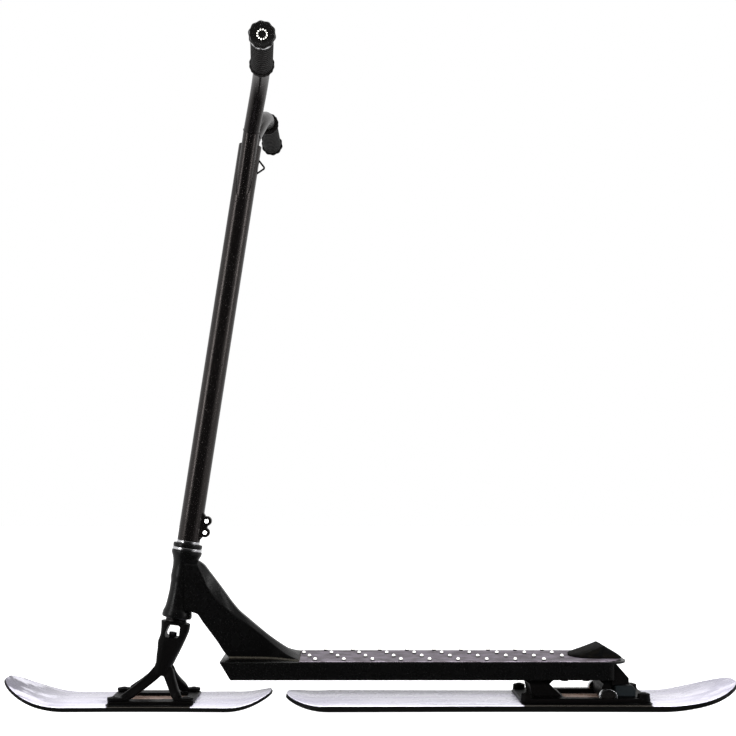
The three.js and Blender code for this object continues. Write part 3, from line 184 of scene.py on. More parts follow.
# Heel wedge
WEDGE_BOTTOM = 68.1
WEDGE_RIDGE = PIVOT_X - 3.3
WEDGE_FRONT = WEDGE_RIDGE - 45.0
WEDGE_REAR = WEDGE_RIDGE + 26.0
WEDGE_HALF = 36.0
WEDGE_HEIGHT = 17.0
WEDGE_LIP = 3.4

# Rear bracket, caps and damper
BRACKET_TOP = 41.7
PLATE_BOTTOM = 37.7
BRACKET_HALF = 34.5
EYE_RADIUS = 6.7
TAIL_BLOCK_BOTTOM = 33.6
TAIL_BLOCK_HALF = 45.0
BRACKET_TAIL = PIVOT_X + 29.0
CAP_FOOT = 15.8
CAP_OUTER = 12.4
CAP_INNER = 9.5
CAP_FACES = (39.5, 50.0)
BUSH_LOWER = 5.2
DAMPER = (PIVOT_X + 11.7, PIVOT_X + 40.7)
DAMPER_TOP = 31.6
DAMPER_HALF = 35.0
DAMPER_ROUND = 9.0


# Forms are a pair: points in millimetres, and groups of faces with equal numbers of corners

def to_frame(points):
    """x' = x + the place of the axis foot, and every length goes from millimetres to metres."""
    return (np.asarray(points, float) + (AXIS_FOOT, 0.0, 0.0)) * MM


def leaned(form):
    """A turn about Y by the steering lean: x' = x cos a + z sin a, z' = z cos a - x sin a."""
    x, y, z = form[0].T
    points = np.stack([
        x * math.cos(LEAN) + z * math.sin(LEAN), y, z * math.cos(LEAN) - x * math.sin(LEAN),
    ], -1)
    return points, form[1]


def clamped(form):
    """A turn about Z by the bars' twist, x' = x cos b - y sin b and y' = x sin b + y cos b, then the lean."""
    x, y, z = form[0].T
    points = np.stack([
        x * math.cos(BAR_TURN) - y * math.sin(BAR_TURN), x * math.sin(BAR_TURN) + y * math.cos(BAR_TURN), z,
    ], -1)
    return leaned((points, form[1]))


def moved(form, x, y=0.0):
    """x' = x + the first distance, y' = y + the second."""
    return form[0] + (x, y, 0.0), form[1]


def mirrored(form):
    """y' = -y."""
    return form[0] * (1, -1, 1), form[1]


def on_side(form, side):
    """A form that is made for the right side, mirrored for the left."""
    return form if side > 0 else mirrored(form)


def joined(*forms):
    """Several forms side by side in one mesh."""
    starts = np.cumsum([0] + [len(points) for points, _ in forms])
    groups = [group + start for (_, faces), start in zip(forms, starts) for group in faces]
    return np.concatenate([points for points, _ in forms]), groups


def skin(rings, loop=False, ends=True):
    """Rings of points joined by quads, row to row; flat faces close the first and last ring."""
    rings = np.asarray(rings, float)
    rows, columns = rings.shape[:2]
    row = np.arange(rows if loop else rows - 1)[:, None]
    column = np.arange(columns)[None, :]
    after = (row + 1) % rows
    beside = (column + 1) % columns
    groups = [np.stack([
        row * columns + column, row * columns + beside,
        after * columns + beside, after * columns + column,
    ], -1).reshape(-1, 4)]
    if ends and not loop:
        groups.append(np.arange(columns)[None, ::-1])
        groups.append((rows - 1) * columns + np.arange(columns)[None, :])
    return rings.reshape(-1, 3), groups


def rounded(points, distance, steps=4, loop=True):
    """Each corner becomes a quadratic curve that starts and ends the given distance away from it."""
    points = np.asarray(points, float)
    toward = []
    for shift in (1, -1):
        run = np.roll(points, shift, axis=-2) - points
        length = np.maximum(np.linalg.norm(run, axis=-1, keepdims=True), MERGE)
        toward.append(points + run * np.minimum(distance, 0.48 * length) / length)
    share = np.linspace(0, 1, steps + 1)[:, None]
    curve = (
        (1 - share) ** 2 * toward[0][..., None, :]
        + 2 * share * (1 - share) * points[..., None, :]
        + share ** 2 * toward[1][..., None, :]
    )
    if not loop:
        inner = curve[1:-1].reshape(-1, points.shape[-1])
        return np.concatenate([points[:1], inner, points[-1:]])
    return curve.reshape(*points.shape[:-2], -1, points.shape[-1])


def eased(knots, values, at):
    """Cubic Hermite curve through the values at the knots, its slopes held so that it never overshoots."""
    knots = np.asarray(knots, float)
    values = np.asarray(values, float).reshape(len(knots), -1)
    step = np.diff(knots)[:, None]
    secant = np.diff(values, axis=0) / step
    slope = np.zeros_like(values)
    product = secant[:-1] * secant[1:]
    total = secant[:-1] + secant[1:]
    slope[1:-1] = np.where(product > 0, 2 * product / np.where(total == 0, 1, total), 0)
    slope[0] = secant[0]
    slope[-1] = secant[-1]
    at = np.asarray(at, float)
    i = np.clip(np.searchsorted(knots, at, side="right") - 1, 0, len(knots) - 2)
    t = ((at - knots[i]) / step[i, 0])[:, None]
    return (
        (1 + 2 * t) * (1 - t) ** 2 * values[i] + t * (1 - t) ** 2 * step[i] * slope[i]
        + t ** 2 * (3 - 2 * t) * values[i + 1] + t ** 2 * (t - 1) * step[i] * slope[i + 1]
    )


def circle(x, y, radius, sides=32):
    """A full round of points, once."""
    angle = np.linspace(0, 2 * np.pi, sides, endpoint=False)
    return np.stack([x + radius * np.cos(angle), y + radius * np.sin(angle)], -1)


def arc(x, y, radius, start, end, steps):
    """Points on a circle from one angle to another."""
    angle = np.linspace(start, end, steps + 1)
    return np.stack([x + radius * np.cos(angle), y + radius * np.sin(angle)], -1)


def rectangle(x0, x1, y0, y1, radius=0.0, steps=6):
    """Four corners, rounded where a radius is given."""
    corners = np.array([[x0, y0], [x1, y0], [x1, y1], [x0, y1]], float)
    if not radius:
        return corners
    return np.concatenate([
        arc(x1 - radius, y0 + radius, radius, -np.pi / 2, 0, steps),
        arc(x1 - radius, y1 - radius, radius, 0, np.pi / 2, steps),
        arc(x0 + radius, y1 - radius, radius, np.pi / 2, np.pi, steps),
        arc(x0 + radius, y0 + radius, radius, np.pi, 1.5 * np.pi, steps),
    ])


def prism(outline, low, high, along):
    """A flat outline carried straight along one axis; its own axes are the other two, in order."""
    outline = np.asarray(outline, float)
    order = {"x": [2, 0, 1], "y": [0, 2, 1], "z": [0, 1, 2]}[along]
    rings = [np.column_stack([outline, np.full(len(outline), level)])[:, order] for level in (low, high)]
    return skin(rings)


def turned(profile, sides=72, lobes=None, lobe_count=1):
    """A profile of radius r and height h carried round Z: (r cos t, r sin t, h), r less its lobes."""
    profile = np.asarray(profile, float)
    angle = np.linspace(0, 2 * np.pi, sides, endpoint=False)
    radius = np.repeat(profile[:, :1], sides, axis=1)
    if lobes is not None:
        radius = radius - np.outer(lobes, 0.5 - 0.5 * np.cos(lobe_count * angle))
    height = np.repeat(profile[:, 1:], sides, axis=1)
    rings = np.stack([radius * np.cos(angle), radius * np.sin(angle), height], -1)
    return skin(rings, loop=profile[:, 0].min() > 0, ends=False)


def rod(radius, low, high):
    """A full round bar about Z: (r cos t, r sin t, h) with a flat at both ends."""
    return turned([[0, low], [radius, low], [radius, high], [0, high]], 96)


OVAL_SIDES = 64


def signed_power(values, power):
    """|v|^p with the sign of v."""
    return np.sign(values) * np.abs(values) ** power


def ovals(x, z, half_x, half_y, power):
    """A ring |x/a|^p + |y/b|^p = 1 at each height: cos and sin are raised to 2/p, keeping their sign."""
    angle = np.linspace(0, 2 * np.pi, OVAL_SIDES, endpoint=False)
    x, z, half_x, half_y, power = [np.asarray(v, float).reshape(-1, 1) for v in (x, z, half_x, half_y, power)]
    across = x + half_x * signed_power(np.cos(angle), 2 / power)
    aside = half_y * signed_power(np.sin(angle), 2 / power)
    return np.stack([across, aside, z + 0 * across], -1)


def swept(path, section, across, loop=False):
    """A section on each point of a path, p + u s + v n: s is the given direction less its part along the
    path, n is square to both, and each is one long."""
    path = np.asarray(path, float)
    if loop:
        tangent = np.roll(path, -1, axis=0) - np.roll(path, 1, axis=0)
    else:
        tangent = np.gradient(path, axis=0)
    tangent /= np.linalg.norm(tangent, axis=1, keepdims=True)
    across = np.asarray(across, float)
    side = across - (tangent @ across)[:, None] * tangent
    side /= np.linalg.norm(side, axis=1, keepdims=True)
    other = np.cross(tangent, side)
    section = np.asarray(section, float)
    if section.ndim == 2:
        section = np.broadcast_to(section, (len(path),) + section.shape)
    rings = path[:, None] + section[..., :1] * side[:, None] + section[..., 1:] * other[:, None]
    return skin(rings, loop=loop)


def resampled(path, step, loop=False):
    """The same path with points an even distance apart, read off its running length in straight lines."""
    path = np.asarray(path, float)
    if loop:
        path = np.concatenate([path, path[:1]])
    run = np.concatenate([[0], np.cumsum(np.linalg.norm(np.diff(path, axis=0), axis=1))])
    at = np.linspace(0, run[-1], max(int(run[-1] / step), 4) + 1)
    if loop:
        at = at[:-1]
    return np.stack([np.interp(at, run, path[:, i]) for i in range(3)], -1)


# Weld beads
BEAD_SIDES = 10
BEAD_PITCH = 3.2
BEAD_STEPS = 7
BEAD_RIPPLE = 0.24


def bead(path, radius, across, loop=False):
    """A weld: a tube whose radius dips in a rounded saw once each pitch, as its puddles overlap."""
    path = resampled(path, BEAD_PITCH / BEAD_STEPS, loop)
    phase = np.arange(len(path)) / BEAD_STEPS % 1.0
    size = radius * (1 - BEAD_RIPPLE * phase ** 3)
    section = size[:, None, None] * circle(0, 0, 1, BEAD_SIDES)
    return swept(path, section, across, loop)


def set_along(form, place, axis):
    """Turns +Z to the given axis and moves the origin to the place."""
    turn = Vector((0, 0, 1)).rotation_difference(Vector(axis)).to_matrix()
    return form[0] @ np.array(turn).T + np.asarray(place, float), form[1]


# Joining, cutting and casting with scratch objects that are deleted again

def closed(mesh, distance):
    """Merges doubles and points the faces outwards."""
    work = bmesh.new()
    work.from_mesh(mesh)
    bmesh.ops.remove_doubles(work, verts=work.verts, dist=distance)
    bmesh.ops.recalc_face_normals(work, faces=work.faces)
    work.to_mesh(mesh)
    work.free()


def meshed(name, points, groups, distance):
    """A Blender mesh from a form's arrays."""
    mesh = bpy.data.meshes.new(name)
    mesh.from_pydata(points.tolist(), [], [face for group in groups for face in group.tolist()])
    closed(mesh, distance)
    return mesh


def scratch(form):
    """A scratch object in millimetres."""
    thing = bpy.data.objects.new("scratch", meshed("scratch", form[0], form[1], MERGE))
    bpy.context.scene.collection.objects.link(thing)
    return thing


def discard(thing):
    """Deletes a scratch object and its mesh."""
    mesh = thing.data
    bpy.data.objects.remove(thing)
    bpy.data.meshes.remove(mesh)


def shaped(thing):
    """The form of a scratch object after its modifiers; the object is deleted."""
    graph = bpy.context.evaluated_depsgraph_get()
    mesh = bpy.data.meshes.new_from_object(thing.evaluated_get(graph))
    points = np.empty(len(mesh.vertices) * 3)
    totals = np.empty(len(mesh.polygons), int)
    corners = np.empty(len(mesh.loops), int)
    mesh.vertices.foreach_get("co", points)
    mesh.polygons.foreach_get("loop_total", totals)
    mesh.loops.foreach_get("vertex_index", corners)
    starts = np.cumsum(totals) - totals
    groups = [corners[starts[totals == n][:, None] + np.arange(n)] for n in np.unique(totals)]
    bpy.data.meshes.remove(mesh)
    discard(thing)
    return points.reshape(-1, 3), groups


def cut_into(body, cutters, operation):
    """Adds one boolean for each cutter to a scratch object, and returns the cutters' objects."""
    tools = [scratch(cutter) for cutter in cutters]
    for tool in tools:
        change = body.modifiers.new("cut", "BOOLEAN")
        change.operation = operation
        change.solver = "EXACT"
        change.object = tool
        tool.hide_render = True
    return tools


def carved(form, *cutters, operation="DIFFERENCE"):
    """The form less the cutters, or what it has in common with them."""
    body = scratch(form)
    tools = cut_into(body, cutters, operation)
    result = shaped(body)
    for tool in tools:
        discard(tool)
    return result


def fused(body, cell):
    """Adds a remesh on cubic cells, which welds overlapping shapes into one skin."""
    change = body.modifiers.new("fuse", "REMESH")
    change.mode = "VOXEL"
    change.voxel_size = cell


def cast(forms, cell, passes, cutters=()):
    """Overlapping shapes fused into one skin, cut, and relaxed as sand casting rounds its corners."""
    body = scratch(joined(*forms))
    fused(body, cell)
    if cutters:
        body = scratch(carved(shaped(body), *cutters))
        fused(body, cell)
    relax = body.modifiers.new("relax", "SMOOTH")
    relax.factor = 0.5
    relax.iterations = passes
    return shaped(body)


# Edges sharper than this many degrees stay sharp, or are bevelled
EDGE_ANGLE = 38
BEVEL_SEGMENTS = 2


def piece(name, form, finish, body, nodes=(), bevel=0.0):
    """One finished object in metres, riding its body and standing for its nodes."""
    mesh = meshed(name, to_frame(form[0]), form[1], MERGE * MM)
    mesh.shade_smooth()
    mesh.set_sharp_from_angle(angle=math.radians(EDGE_ANGLE))
    mesh.materials.append(finish)
    thing = bpy.data.objects.new(name, mesh)
    bpy.context.scene.collection.objects.link(thing)
    if bevel:
        edge = thing.modifiers.new("edge", "BEVEL")
        edge.width = bevel * MM
        edge.segments = BEVEL_SEGMENTS
        edge.limit_method = "ANGLE"
        edge.angle_limit = math.radians(EDGE_ANGLE)
        edge.harden_normals = True
    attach(thing, body)
    if nodes:
        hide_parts(*nodes)
    return thing


# Finishes

def tone(red, green, blue):
    """An 8-bit screen colour made linear by ((v + 0.055) / 1.055)^2.4, also in the deepest black, which
    keeps a trace of light."""
    return tuple(((v / 255 + 0.055) / 1.055) ** 2.4 for v in (red, green, blue)) + (1.0,)


# How rough the noise is, where most of its values lie, and how far turning marks waver
NOISE_GRAIN = 0.55
NOISE_MIDDLE = (0.3, 0.7)
RING_WAVER = 0.6


def set_range(node, start, end, low, high):
    """Fills in a Map Range node: from start to end, it goes from low to high."""
    for socket, number in (("From Min", start), ("From Max", end), ("To Min", low), ("To Max", high)):
        node.inputs[socket].default_value = number


class Finish:
    """A Principled surface and the few kinds of node that vary it."""

    def __init__(self, name, **sockets):
        """A new material; the sockets named in the call get fixed values."""
        self.material = bpy.data.materials.new(name)
        self.material.use_nodes = True
        self.tree = self.material.node_tree
        self.shader = self.tree.nodes["Principled BSDF"]
        for socket, value in sockets.items():
            self.shader.inputs[socket.replace("_", " ")].default_value = value
        self.place = self.tree.nodes.new("ShaderNodeTexCoord").outputs["Object"]
        self.bumps = None

    def link(self, source, target):
        """Joins two sockets."""
        self.tree.links.new(source, target)

    def stretched(self, scale, turn=0.0):
        """The place turned about Y and scaled axis by axis."""
        mapping = self.tree.nodes.new("ShaderNodeMapping")
        mapping.inputs["Scale"].default_value = scale
        mapping.inputs["Rotation"].default_value = (0.0, turn, 0.0)
        self.link(self.place, mapping.inputs["Vector"])
        return mapping.outputs["Vector"]

    def noise(self, scale, detail, place=None):
        """Soft random cloud, from 0 to 1; the scale is in features for each metre."""
        node = self.tree.nodes.new("ShaderNodeTexNoise")
        node.inputs["Scale"].default_value = scale
        node.inputs["Detail"].default_value = detail
        node.inputs["Roughness"].default_value = NOISE_GRAIN
        self.link(place or self.place, node.inputs["Vector"])
        return node.outputs["Fac"]

    def cells(self, scale):
        """Distance to the nearest of many scattered points."""
        node = self.tree.nodes.new("ShaderNodeTexVoronoi")
        node.inputs["Scale"].default_value = scale
        self.link(self.place, node.inputs["Vector"])
        return node.outputs["Distance"]

    def rings(self, scale, turn):
        """Fine bands along the turned Z axis, as a lathe tool leaves."""
        node = self.tree.nodes.new("ShaderNodeTexWave")
        node.bands_direction = "Z"
        node.inputs["Scale"].default_value = scale
        node.inputs["Distortion"].default_value = RING_WAVER
        self.link(self.stretched((1, 1, 1), turn), node.inputs["Vector"])
        return node.outputs["Fac"]

    def along(self, axis, start, end):
        """0 to 1 along one axis of the frame, in metres."""
        split = self.tree.nodes.new("ShaderNodeSeparateXYZ")
        self.link(self.place, split.inputs[0])
        return self.spread(split.outputs[axis], 0.0, 1.0, start, end)

    def spread(self, value, low, high, start=0.0, end=1.0):
        """A value from one range to another, held at its ends."""
        node = self.tree.nodes.new("ShaderNodeMapRange")
        self.link(value, node.inputs["Value"])
        set_range(node, start, end, low, high)
        return node.outputs["Result"]

    def product(self, first, second):
        """Two values multiplied."""
        node = self.tree.nodes.new("ShaderNodeMath")
        node.operation = "MULTIPLY"
        self.link(first, node.inputs[0])
        self.link(second, node.inputs[1])
        return node.outputs[0]

    def mixed(self, factor, low, high):
        """From one colour, or colour socket, to another."""
        node = self.tree.nodes.new("ShaderNodeMix")
        node.data_type = "RGBA"
        self.link(factor, node.inputs[0])
        for index, color in ((6, low), (7, high)):
            if isinstance(color, tuple):
                node.inputs[index].default_value = color
            else:
                self.link(color, node.inputs[index])
        return node.outputs[2]

    def color(self, socket):
        """Makes a colour socket the base colour."""
        self.link(socket, self.shader.inputs["Base Color"])

    def colors(self, factor, low, high):
        """The base colour goes from one 8-bit tone to another."""
        self.color(self.mixed(factor, tone(*low), tone(*high)))

    def roughness(self, value, low, high):
        """The roughness runs from low to high over the middle of the value's range."""
        self.link(self.spread(value, low, high, *NOISE_MIDDLE), self.shader.inputs["Roughness"])

    def bump(self, height, depth):
        """Adds one layer of relief, its depth in millimetres."""
        node = self.tree.nodes.new("ShaderNodeBump")
        node.inputs["Distance"].default_value = depth * MM
        node.inputs["Strength"].default_value = 1.0
        self.link(height, node.inputs["Height"])
        if self.bumps:
            self.link(self.bumps, node.inputs["Normal"])
        self.bumps = node.outputs["Normal"]
        self.link(self.bumps, self.shader.inputs["Normal"])


def bar_paint():
    """Satin black powder coat with orange peel and a warm cast."""
    finish = Finish("bar_satin", Specular_IOR_Level=0.6, Specular_Tint=tone(255, 242, 238))
    finish.colors(finish.noise(35, 3), (1, 0, 0), (5, 4, 4))
    finish.roughness(finish.noise(160, 3), 0.2, 0.3)
    finish.bump(finish.noise(1500, 2), 0.05)
    return finish.material


# The neck's paint, from the shine at its front to the dull of its long tail; X in the frame
NECK_DULL = (-205.0, -150.0)
NECK_SHINE = (0.34, 0.03)


def frame_paint(name="frame_black", dull=None):
    """Deep black powder coat with a fine sparkle of dust; it may go dull from one X to another."""
    finish = Finish(name, Specular_IOR_Level=0.25)
    if dull:
        way = finish.along("X", dull[0] * MM, dull[1] * MM)
        finish.link(finish.spread(way, *NECK_SHINE), finish.shader.inputs["Specular IOR Level"])
    specks = finish.spread(finish.noise(2600, 1), 0.0, 1.0, 0.66, 0.8)
    finish.colors(specks, (0, 0, 0), (9, 8, 8))
    finish.roughness(finish.noise(120, 3), 0.22, 0.34)
    finish.bump(finish.noise(1700, 2), 0.05)
    return finish.material


def weld_paint():
    """The same black over a weld, olive where the heat shows through."""
    finish = Finish("weld_black", Specular_IOR_Level=0.4)
    finish.colors(finish.noise(240, 4), (6, 6, 6), (48, 45, 38))
    finish.roughness(finish.noise(500, 3), 0.36, 0.55)
    finish.bump(finish.noise(1300, 3), 0.12)
    return finish.material


def cast_black():
    """Black paint over a sand casting."""
    finish = Finish("cast_black", Specular_IOR_Level=0.04)
    finish.colors(finish.noise(90, 4), (0, 0, 0), (3, 2, 2))
    finish.roughness(finish.noise(260, 3), 0.3, 0.46)
    finish.bump(finish.noise(850, 4), 0.16)
    return finish.material


def polished_alloy():
    """Polished aluminium with the faint rings of turning."""
    finish = Finish("polished_alloy", Metallic=1.0)
    finish.colors(finish.noise(80, 2), (222, 222, 226), (246, 246, 248))
    finish.roughness(finish.noise(300, 2), 0.14, 0.26)
    finish.bump(finish.rings(700, LEAN), 0.02)
    return finish.material


def bright_steel():
    """Zinc-plated steel."""
    finish = Finish("bright_zinc", Metallic=1.0)
    finish.colors(finish.noise(220, 3), (196, 197, 202), (232, 232, 236))
    finish.roughness(finish.noise(600, 3), 0.24, 0.4)
    finish.bump(finish.noise(1800, 2), 0.03)
    return finish.material


def flake_steel():
    """Pale zinc-flake coating, which scatters more than it mirrors."""
    finish = Finish("zinc_flake", Specular_IOR_Level=0.6)
    finish.colors(finish.noise(700, 3), (226, 226, 228), (250, 250, 250))
    finish.roughness(finish.noise(900, 3), 0.35, 0.5)
    finish.bump(finish.noise(2200, 2), 0.03)
    return finish.material


def stud_painted_shading(low, high):
    """Pale studs whose feet are dark as painted shade and a painted reflection of the sheet, and whose white
    tops are a painted highlight.
    """
    finish = Finish("stud_painted_light", Specular_IOR_Level=0.6)
    finish.colors(finish.along("Z", low, high), (14, 12, 12), (250, 249, 246))
    finish.roughness(finish.noise(900, 3), 0.25, 0.4)
    finish.bump(finish.noise(2200, 2), 0.02)
    return finish.material


def dark_steel():
    """Black oxide on steel."""
    finish = Finish("black_oxide", Metallic=1.0)
    finish.colors(finish.noise(300, 3), (38, 37, 37), (74, 72, 72))
    finish.roughness(finish.noise(500, 3), 0.32, 0.5)
    finish.bump(finish.noise(1600, 2), 0.04)
    return finish.material


def grip_rubber():
    """Black rubber with a fine moulded stipple."""
    finish = Finish("grip_rubber", Specular_IOR_Level=0.25)
    finish.colors(finish.noise(60, 3), (1, 1, 1), (10, 8, 7))
    finish.roughness(finish.noise(400, 3), 0.5, 0.66)
    finish.bump(finish.cells(1100), 0.12)
    return finish.material


def plug_plastic():
    """Moulded black plastic."""
    finish = Finish("plug_plastic", Specular_IOR_Level=0.6)
    finish.colors(finish.noise(140, 3), (2, 2, 2), (10, 9, 9))
    finish.roughness(finish.noise(420, 3), 0.16, 0.26)
    finish.bump(finish.noise(1500, 2), 0.05)
    return finish.material


def pale_pips():
    """Light moulded points."""
    finish = Finish("pale_pips", Specular_IOR_Level=0.5)
    finish.colors(finish.noise(900, 2), (196, 194, 186), (235, 233, 226))
    finish.roughness(finish.noise(700, 2), 0.35, 0.5)
    return finish.material


def wedge_rubber():
    """Dull brown-black rubber with scuffs."""
    finish = Finish("wedge_rubber", Specular_IOR_Level=0.1)
    worn = finish.spread(finish.noise(130, 5), 0.0, 1.0, 0.42, 0.75)
    finish.colors(worn, (1, 1, 1), (10, 8, 4))
    finish.roughness(finish.noise(300, 3), 0.6, 0.8)
    finish.bump(finish.noise(1100, 4), 0.14)
    return finish.material


def damper_rubber():
    """Grey-green elastomer."""
    finish = Finish("damper_rubber", Specular_IOR_Level=0.4)
    finish.colors(finish.noise(90, 4), (7, 9, 10), (17, 21, 23))
    finish.roughness(finish.noise(350, 3), 0.5, 0.68)
    finish.bump(finish.noise(1300, 3), 0.08)
    return finish.material


def sheet_grit():
    """Pale sheet with grit rolled into it."""
    finish = Finish("grip_sheet", Specular_IOR_Level=0.5)
    grit = finish.noise(1500, 4)
    patches = finish.spread(finish.noise(48, 4), 0.0, 1.0, 0.34, 0.66)
    ground = finish.mixed(patches, tone(64, 56, 62), tone(122, 114, 125))
    grains = finish.spread(grit, 0.0, 1.0, 0.52, 0.76)
    finish.color(finish.mixed(grains, ground, tone(158, 150, 160)))
    finish.roughness(grit, 0.5, 0.75)
    finish.bump(grit, 0.22)
    return finish.material


# Where the grey clouds on the skis' tops start and are full, from the axis foot, and their tones
FRONT_CLOUDS = (FRONT_SKI["nose"] + 95.0, FRONT_SKI["nose"] + 20.0)
REAR_CLOUDS = (REAR_SKI["tail"] - 110.0, REAR_SKI["tail"] - 20.0)
FRONT_CLOUD_TONE = (112, 109, 122)
REAR_CLOUD_TONE = (186, 183, 200)
SOFT_EDGE = 3.0


def ski_lacquer(name, clouds, cloud_tone, span, window):
    """Clear lacquer over a pale lavender sheet: streaks along the ski, clouds of grey towards its tip, darker
    between the frame's ends, and a warm painted shade with a painted reflection inside the frame's window."""
    finish = Finish(name, Specular_IOR_Level=0.2)
    soft = SOFT_EDGE * MM

    def on_ski(*xs):
        """X from the axis foot in millimetres becomes X in the frame in metres."""
        return [(AXIS_FOOT + x) * MM for x in xs]

    def between(axis, low, high):
        """1 between two places along an axis, with a soft edge inside each."""
        return finish.product(finish.along(axis, low, low + soft), finish.along(axis, high, high - soft))

    streaks = finish.noise(26, 4, finish.stretched((0.3, 2.2, 1.0)))
    sheet_share = finish.spread(streaks, 0.0, 1.0, 0.35, 0.65)
    sheet = finish.mixed(sheet_share, tone(212, 208, 226), tone(240, 238, 249))
    puffs = finish.noise(26, 6, finish.stretched((0.9, 1.5, 1.0)))
    shade = finish.product(finish.spread(puffs, 0.0, 1.0, 0.42, 0.54), finish.along("X", *on_ski(*clouds)))
    printed = finish.mixed(shade, sheet, tone(*cloud_tone))
    # Darker between the frame's ends, most of it hidden under the frame.
    darker_under_frame = finish.mixed(between("X", *on_ski(*span)), printed, tone(44, 41, 38))
    x0, x1, half = window
    aside = half * MM + soft
    inside = finish.product(between("X", *on_ski(x0, x1)), between("Y", -aside, aside))
    # Inside the frame's window: a warm painted shade with a painted reflection, where the frame shades the
    # sheet.
    warm = finish.mixed(streaks, tone(120, 96, 86), tone(196, 172, 158))
    finish.color(finish.mixed(inside, darker_under_frame, warm))
    finish.roughness(finish.noise(60, 3), 0.2, 0.34)
    finish.bump(finish.noise(900, 2), 0.02)
    return finish.material


def ski_edge():
    """Black sidewall plastic over laminated wood."""
    finish = Finish("ski_sidewall", Specular_IOR_Level=0.15)
    layers = finish.noise(60, 3, finish.stretched((0.15, 0.15, 9.0)))
    finish.colors(layers, (0, 0, 0), (4, 4, 3))
    finish.roughness(finish.noise(240, 3), 0.38, 0.55)
    finish.bump(finish.noise(1200, 3), 0.06)
    return finish.material


def ski_base_plastic():
    """Sintered black base with a ground structure along the ski."""
    finish = Finish("ski_base_black", Specular_IOR_Level=0.3)
    grind = finish.noise(700, 3, finish.stretched((0.04, 1.0, 1.0)))
    finish.colors(grind, (2, 2, 2), (12, 12, 13))
    finish.roughness(grind, 0.3, 0.5)
    finish.bump(grind, 0.05)
    return finish.material


BAR = bar_paint()
PAINT = frame_paint()
WELD = weld_paint()
CAST = cast_black()
ALLOY = polished_alloy()
ZINC = bright_steel()
FLAKE = flake_steel()
OXIDE = dark_steel()
RUBBER = grip_rubber()
PLASTIC = plug_plastic()
PIPS = pale_pips()
WEDGE = wedge_rubber()
DAMPER_FINISH = damper_rubber()
GRIT = sheet_grit()
EDGE = ski_edge()
BASE = ski_base_plastic()
FRONT_TOP = ski_lacquer("front_ski_lacquer", FRONT_CLOUDS, FRONT_CLOUD_TONE, FRONT_FRAME, FRONT_WINDOW)
REAR_TOP = ski_lacquer("rear_ski_lacquer", REAR_CLOUDS, REAR_CLOUD_TONE, REAR_FRAME, REAR_WINDOW)
FINISH_OF_SLOT = {
    "bar_paint": BAR, "frame_paint": PAINT, "cast_black": CAST, "polished_alloy": ALLOY,
    "bright_steel": ZINC, "dark_steel": OXIDE, "grip_rubber": RUBBER, "plug_plastic": PLASTIC,
    "wedge_rubber": WEDGE, "damper_rubber": DAMPER_FINISH, "sheet_grit": GRIT, "ski_wood": EDGE,
    "ski_base_plastic": BASE,
}


def dress_frame():
    """Every node of the frame gets the finish of its slot; most are then replaced by fine pieces."""
    for part in frame["record"]["subparts"]:
        finish = FINISH_OF_SLOT.get(part["material_slot"], ZINC)
        mesh = frame["nodes"][part["node"]].data
        mesh.materials.clear()
        mesh.materials.append(finish)


# Skis

END_STEPS = 26
MIDDLE_STEPS = 70
LAYER_EDGE = 0.45
BOLT_SHANK = 3.0
BOLT_RIM = 1.0
BOLT_CROWN = 2.2
BOLT_SOCKET = 2.3
BOLT_SOCKET_FLOOR = 1.2


def ski_layer(ski, low, high):
    """Stations run in by the cosine of an end angle while the half-width follows its sine; between the
    ends a sine sidecut narrows it. The running surface rises with the square of the way into each tip,
    and a layer lies at two depths square to it, thinner towards the tips."""
    half = SKI_WIDTH / 2
    first = math.asin(SKI_TIP_FLAT / SKI_WIDTH)
    angle = np.linspace(first, math.pi / 2, END_STEPS, endpoint=False)
    reach = SKI_END_ROUND * (1 - np.cos(angle) / math.cos(first))
    share = np.linspace(0, 1, MIDDLE_STEPS)
    middle = ski["tail"] - ski["nose"] - 2 * SKI_END_ROUND
    x = np.concatenate([
        ski["nose"] + reach, ski["nose"] + SKI_END_ROUND + middle * share, (ski["tail"] - reach)[::-1],
    ])
    width = half * np.sin(angle)
    width = np.concatenate([width, half - SKI_SIDECUT * np.sin(math.pi * share), width[::-1]])
    nose = np.clip(ski["nose"] + ski["nose_curve"] - x, 0, None) / ski["nose_curve"]
    tail = np.clip(x - ski["tail"] + ski["tail_curve"], 0, None) / ski["tail_curve"]
    height = ski["nose_rise"] * nose ** 2 + ski["tail_rise"] * tail ** 2
    slope = 2 * ski["tail_rise"] * tail / ski["tail_curve"] - 2 * ski["nose_rise"] * nose / ski["nose_curve"]
    thin = 1 - (1 - SKI_TIP_THIN) * np.maximum(nose, tail)
    size = np.hypot(1, slope)

    def corner(side, depth):
        """One edge of the layer, at a depth square to the running surface."""
        return np.stack([x - slope / size * depth * thin, side * width, height + depth * thin / size], -1)

    rings = np.stack([corner(-1, low), corner(-1, high), corner(1, high), corner(1, low)], 1)
    return skin(rounded(rings, min(LAYER_EDGE, (high - low) / 2.5), 3))


def corners_of(xs):
    """X and Y of the four bolts, in the order of CORNER_NAMES."""
    return [(x, side * BOSS_Y) for x in xs for _, side in SIDES]


def frame_bolt(ski):
    """Button head on a shank: a flat rim, a domed crown and a six-sided socket."""
    seat = ski["boss"][1] - HEAD_RECESS + GAP
    tip = ski["core_top"] - INSERT_HEIGHT + GAP
    radius = BOLT_HEAD / 2
    profile = np.concatenate([
        [[0, tip], [BOLT_SHANK, tip], [BOLT_SHANK, seat], [radius, seat], [radius, seat + BOLT_RIM]],
        arc(radius - BOLT_CROWN, seat + BOLT_RIM, BOLT_CROWN, 0, math.pi / 2, 6),
        [[0, seat + BOLT_HEAD_HEIGHT]],
    ])
    top = seat + BOLT_HEAD_HEIGHT + OVERRUN
    socket = prism(circle(0, 0, BOLT_SOCKET, 6), seat + BOLT_SOCKET_FLOOR, top, "z")
    return carved(turned(profile, 40), socket)


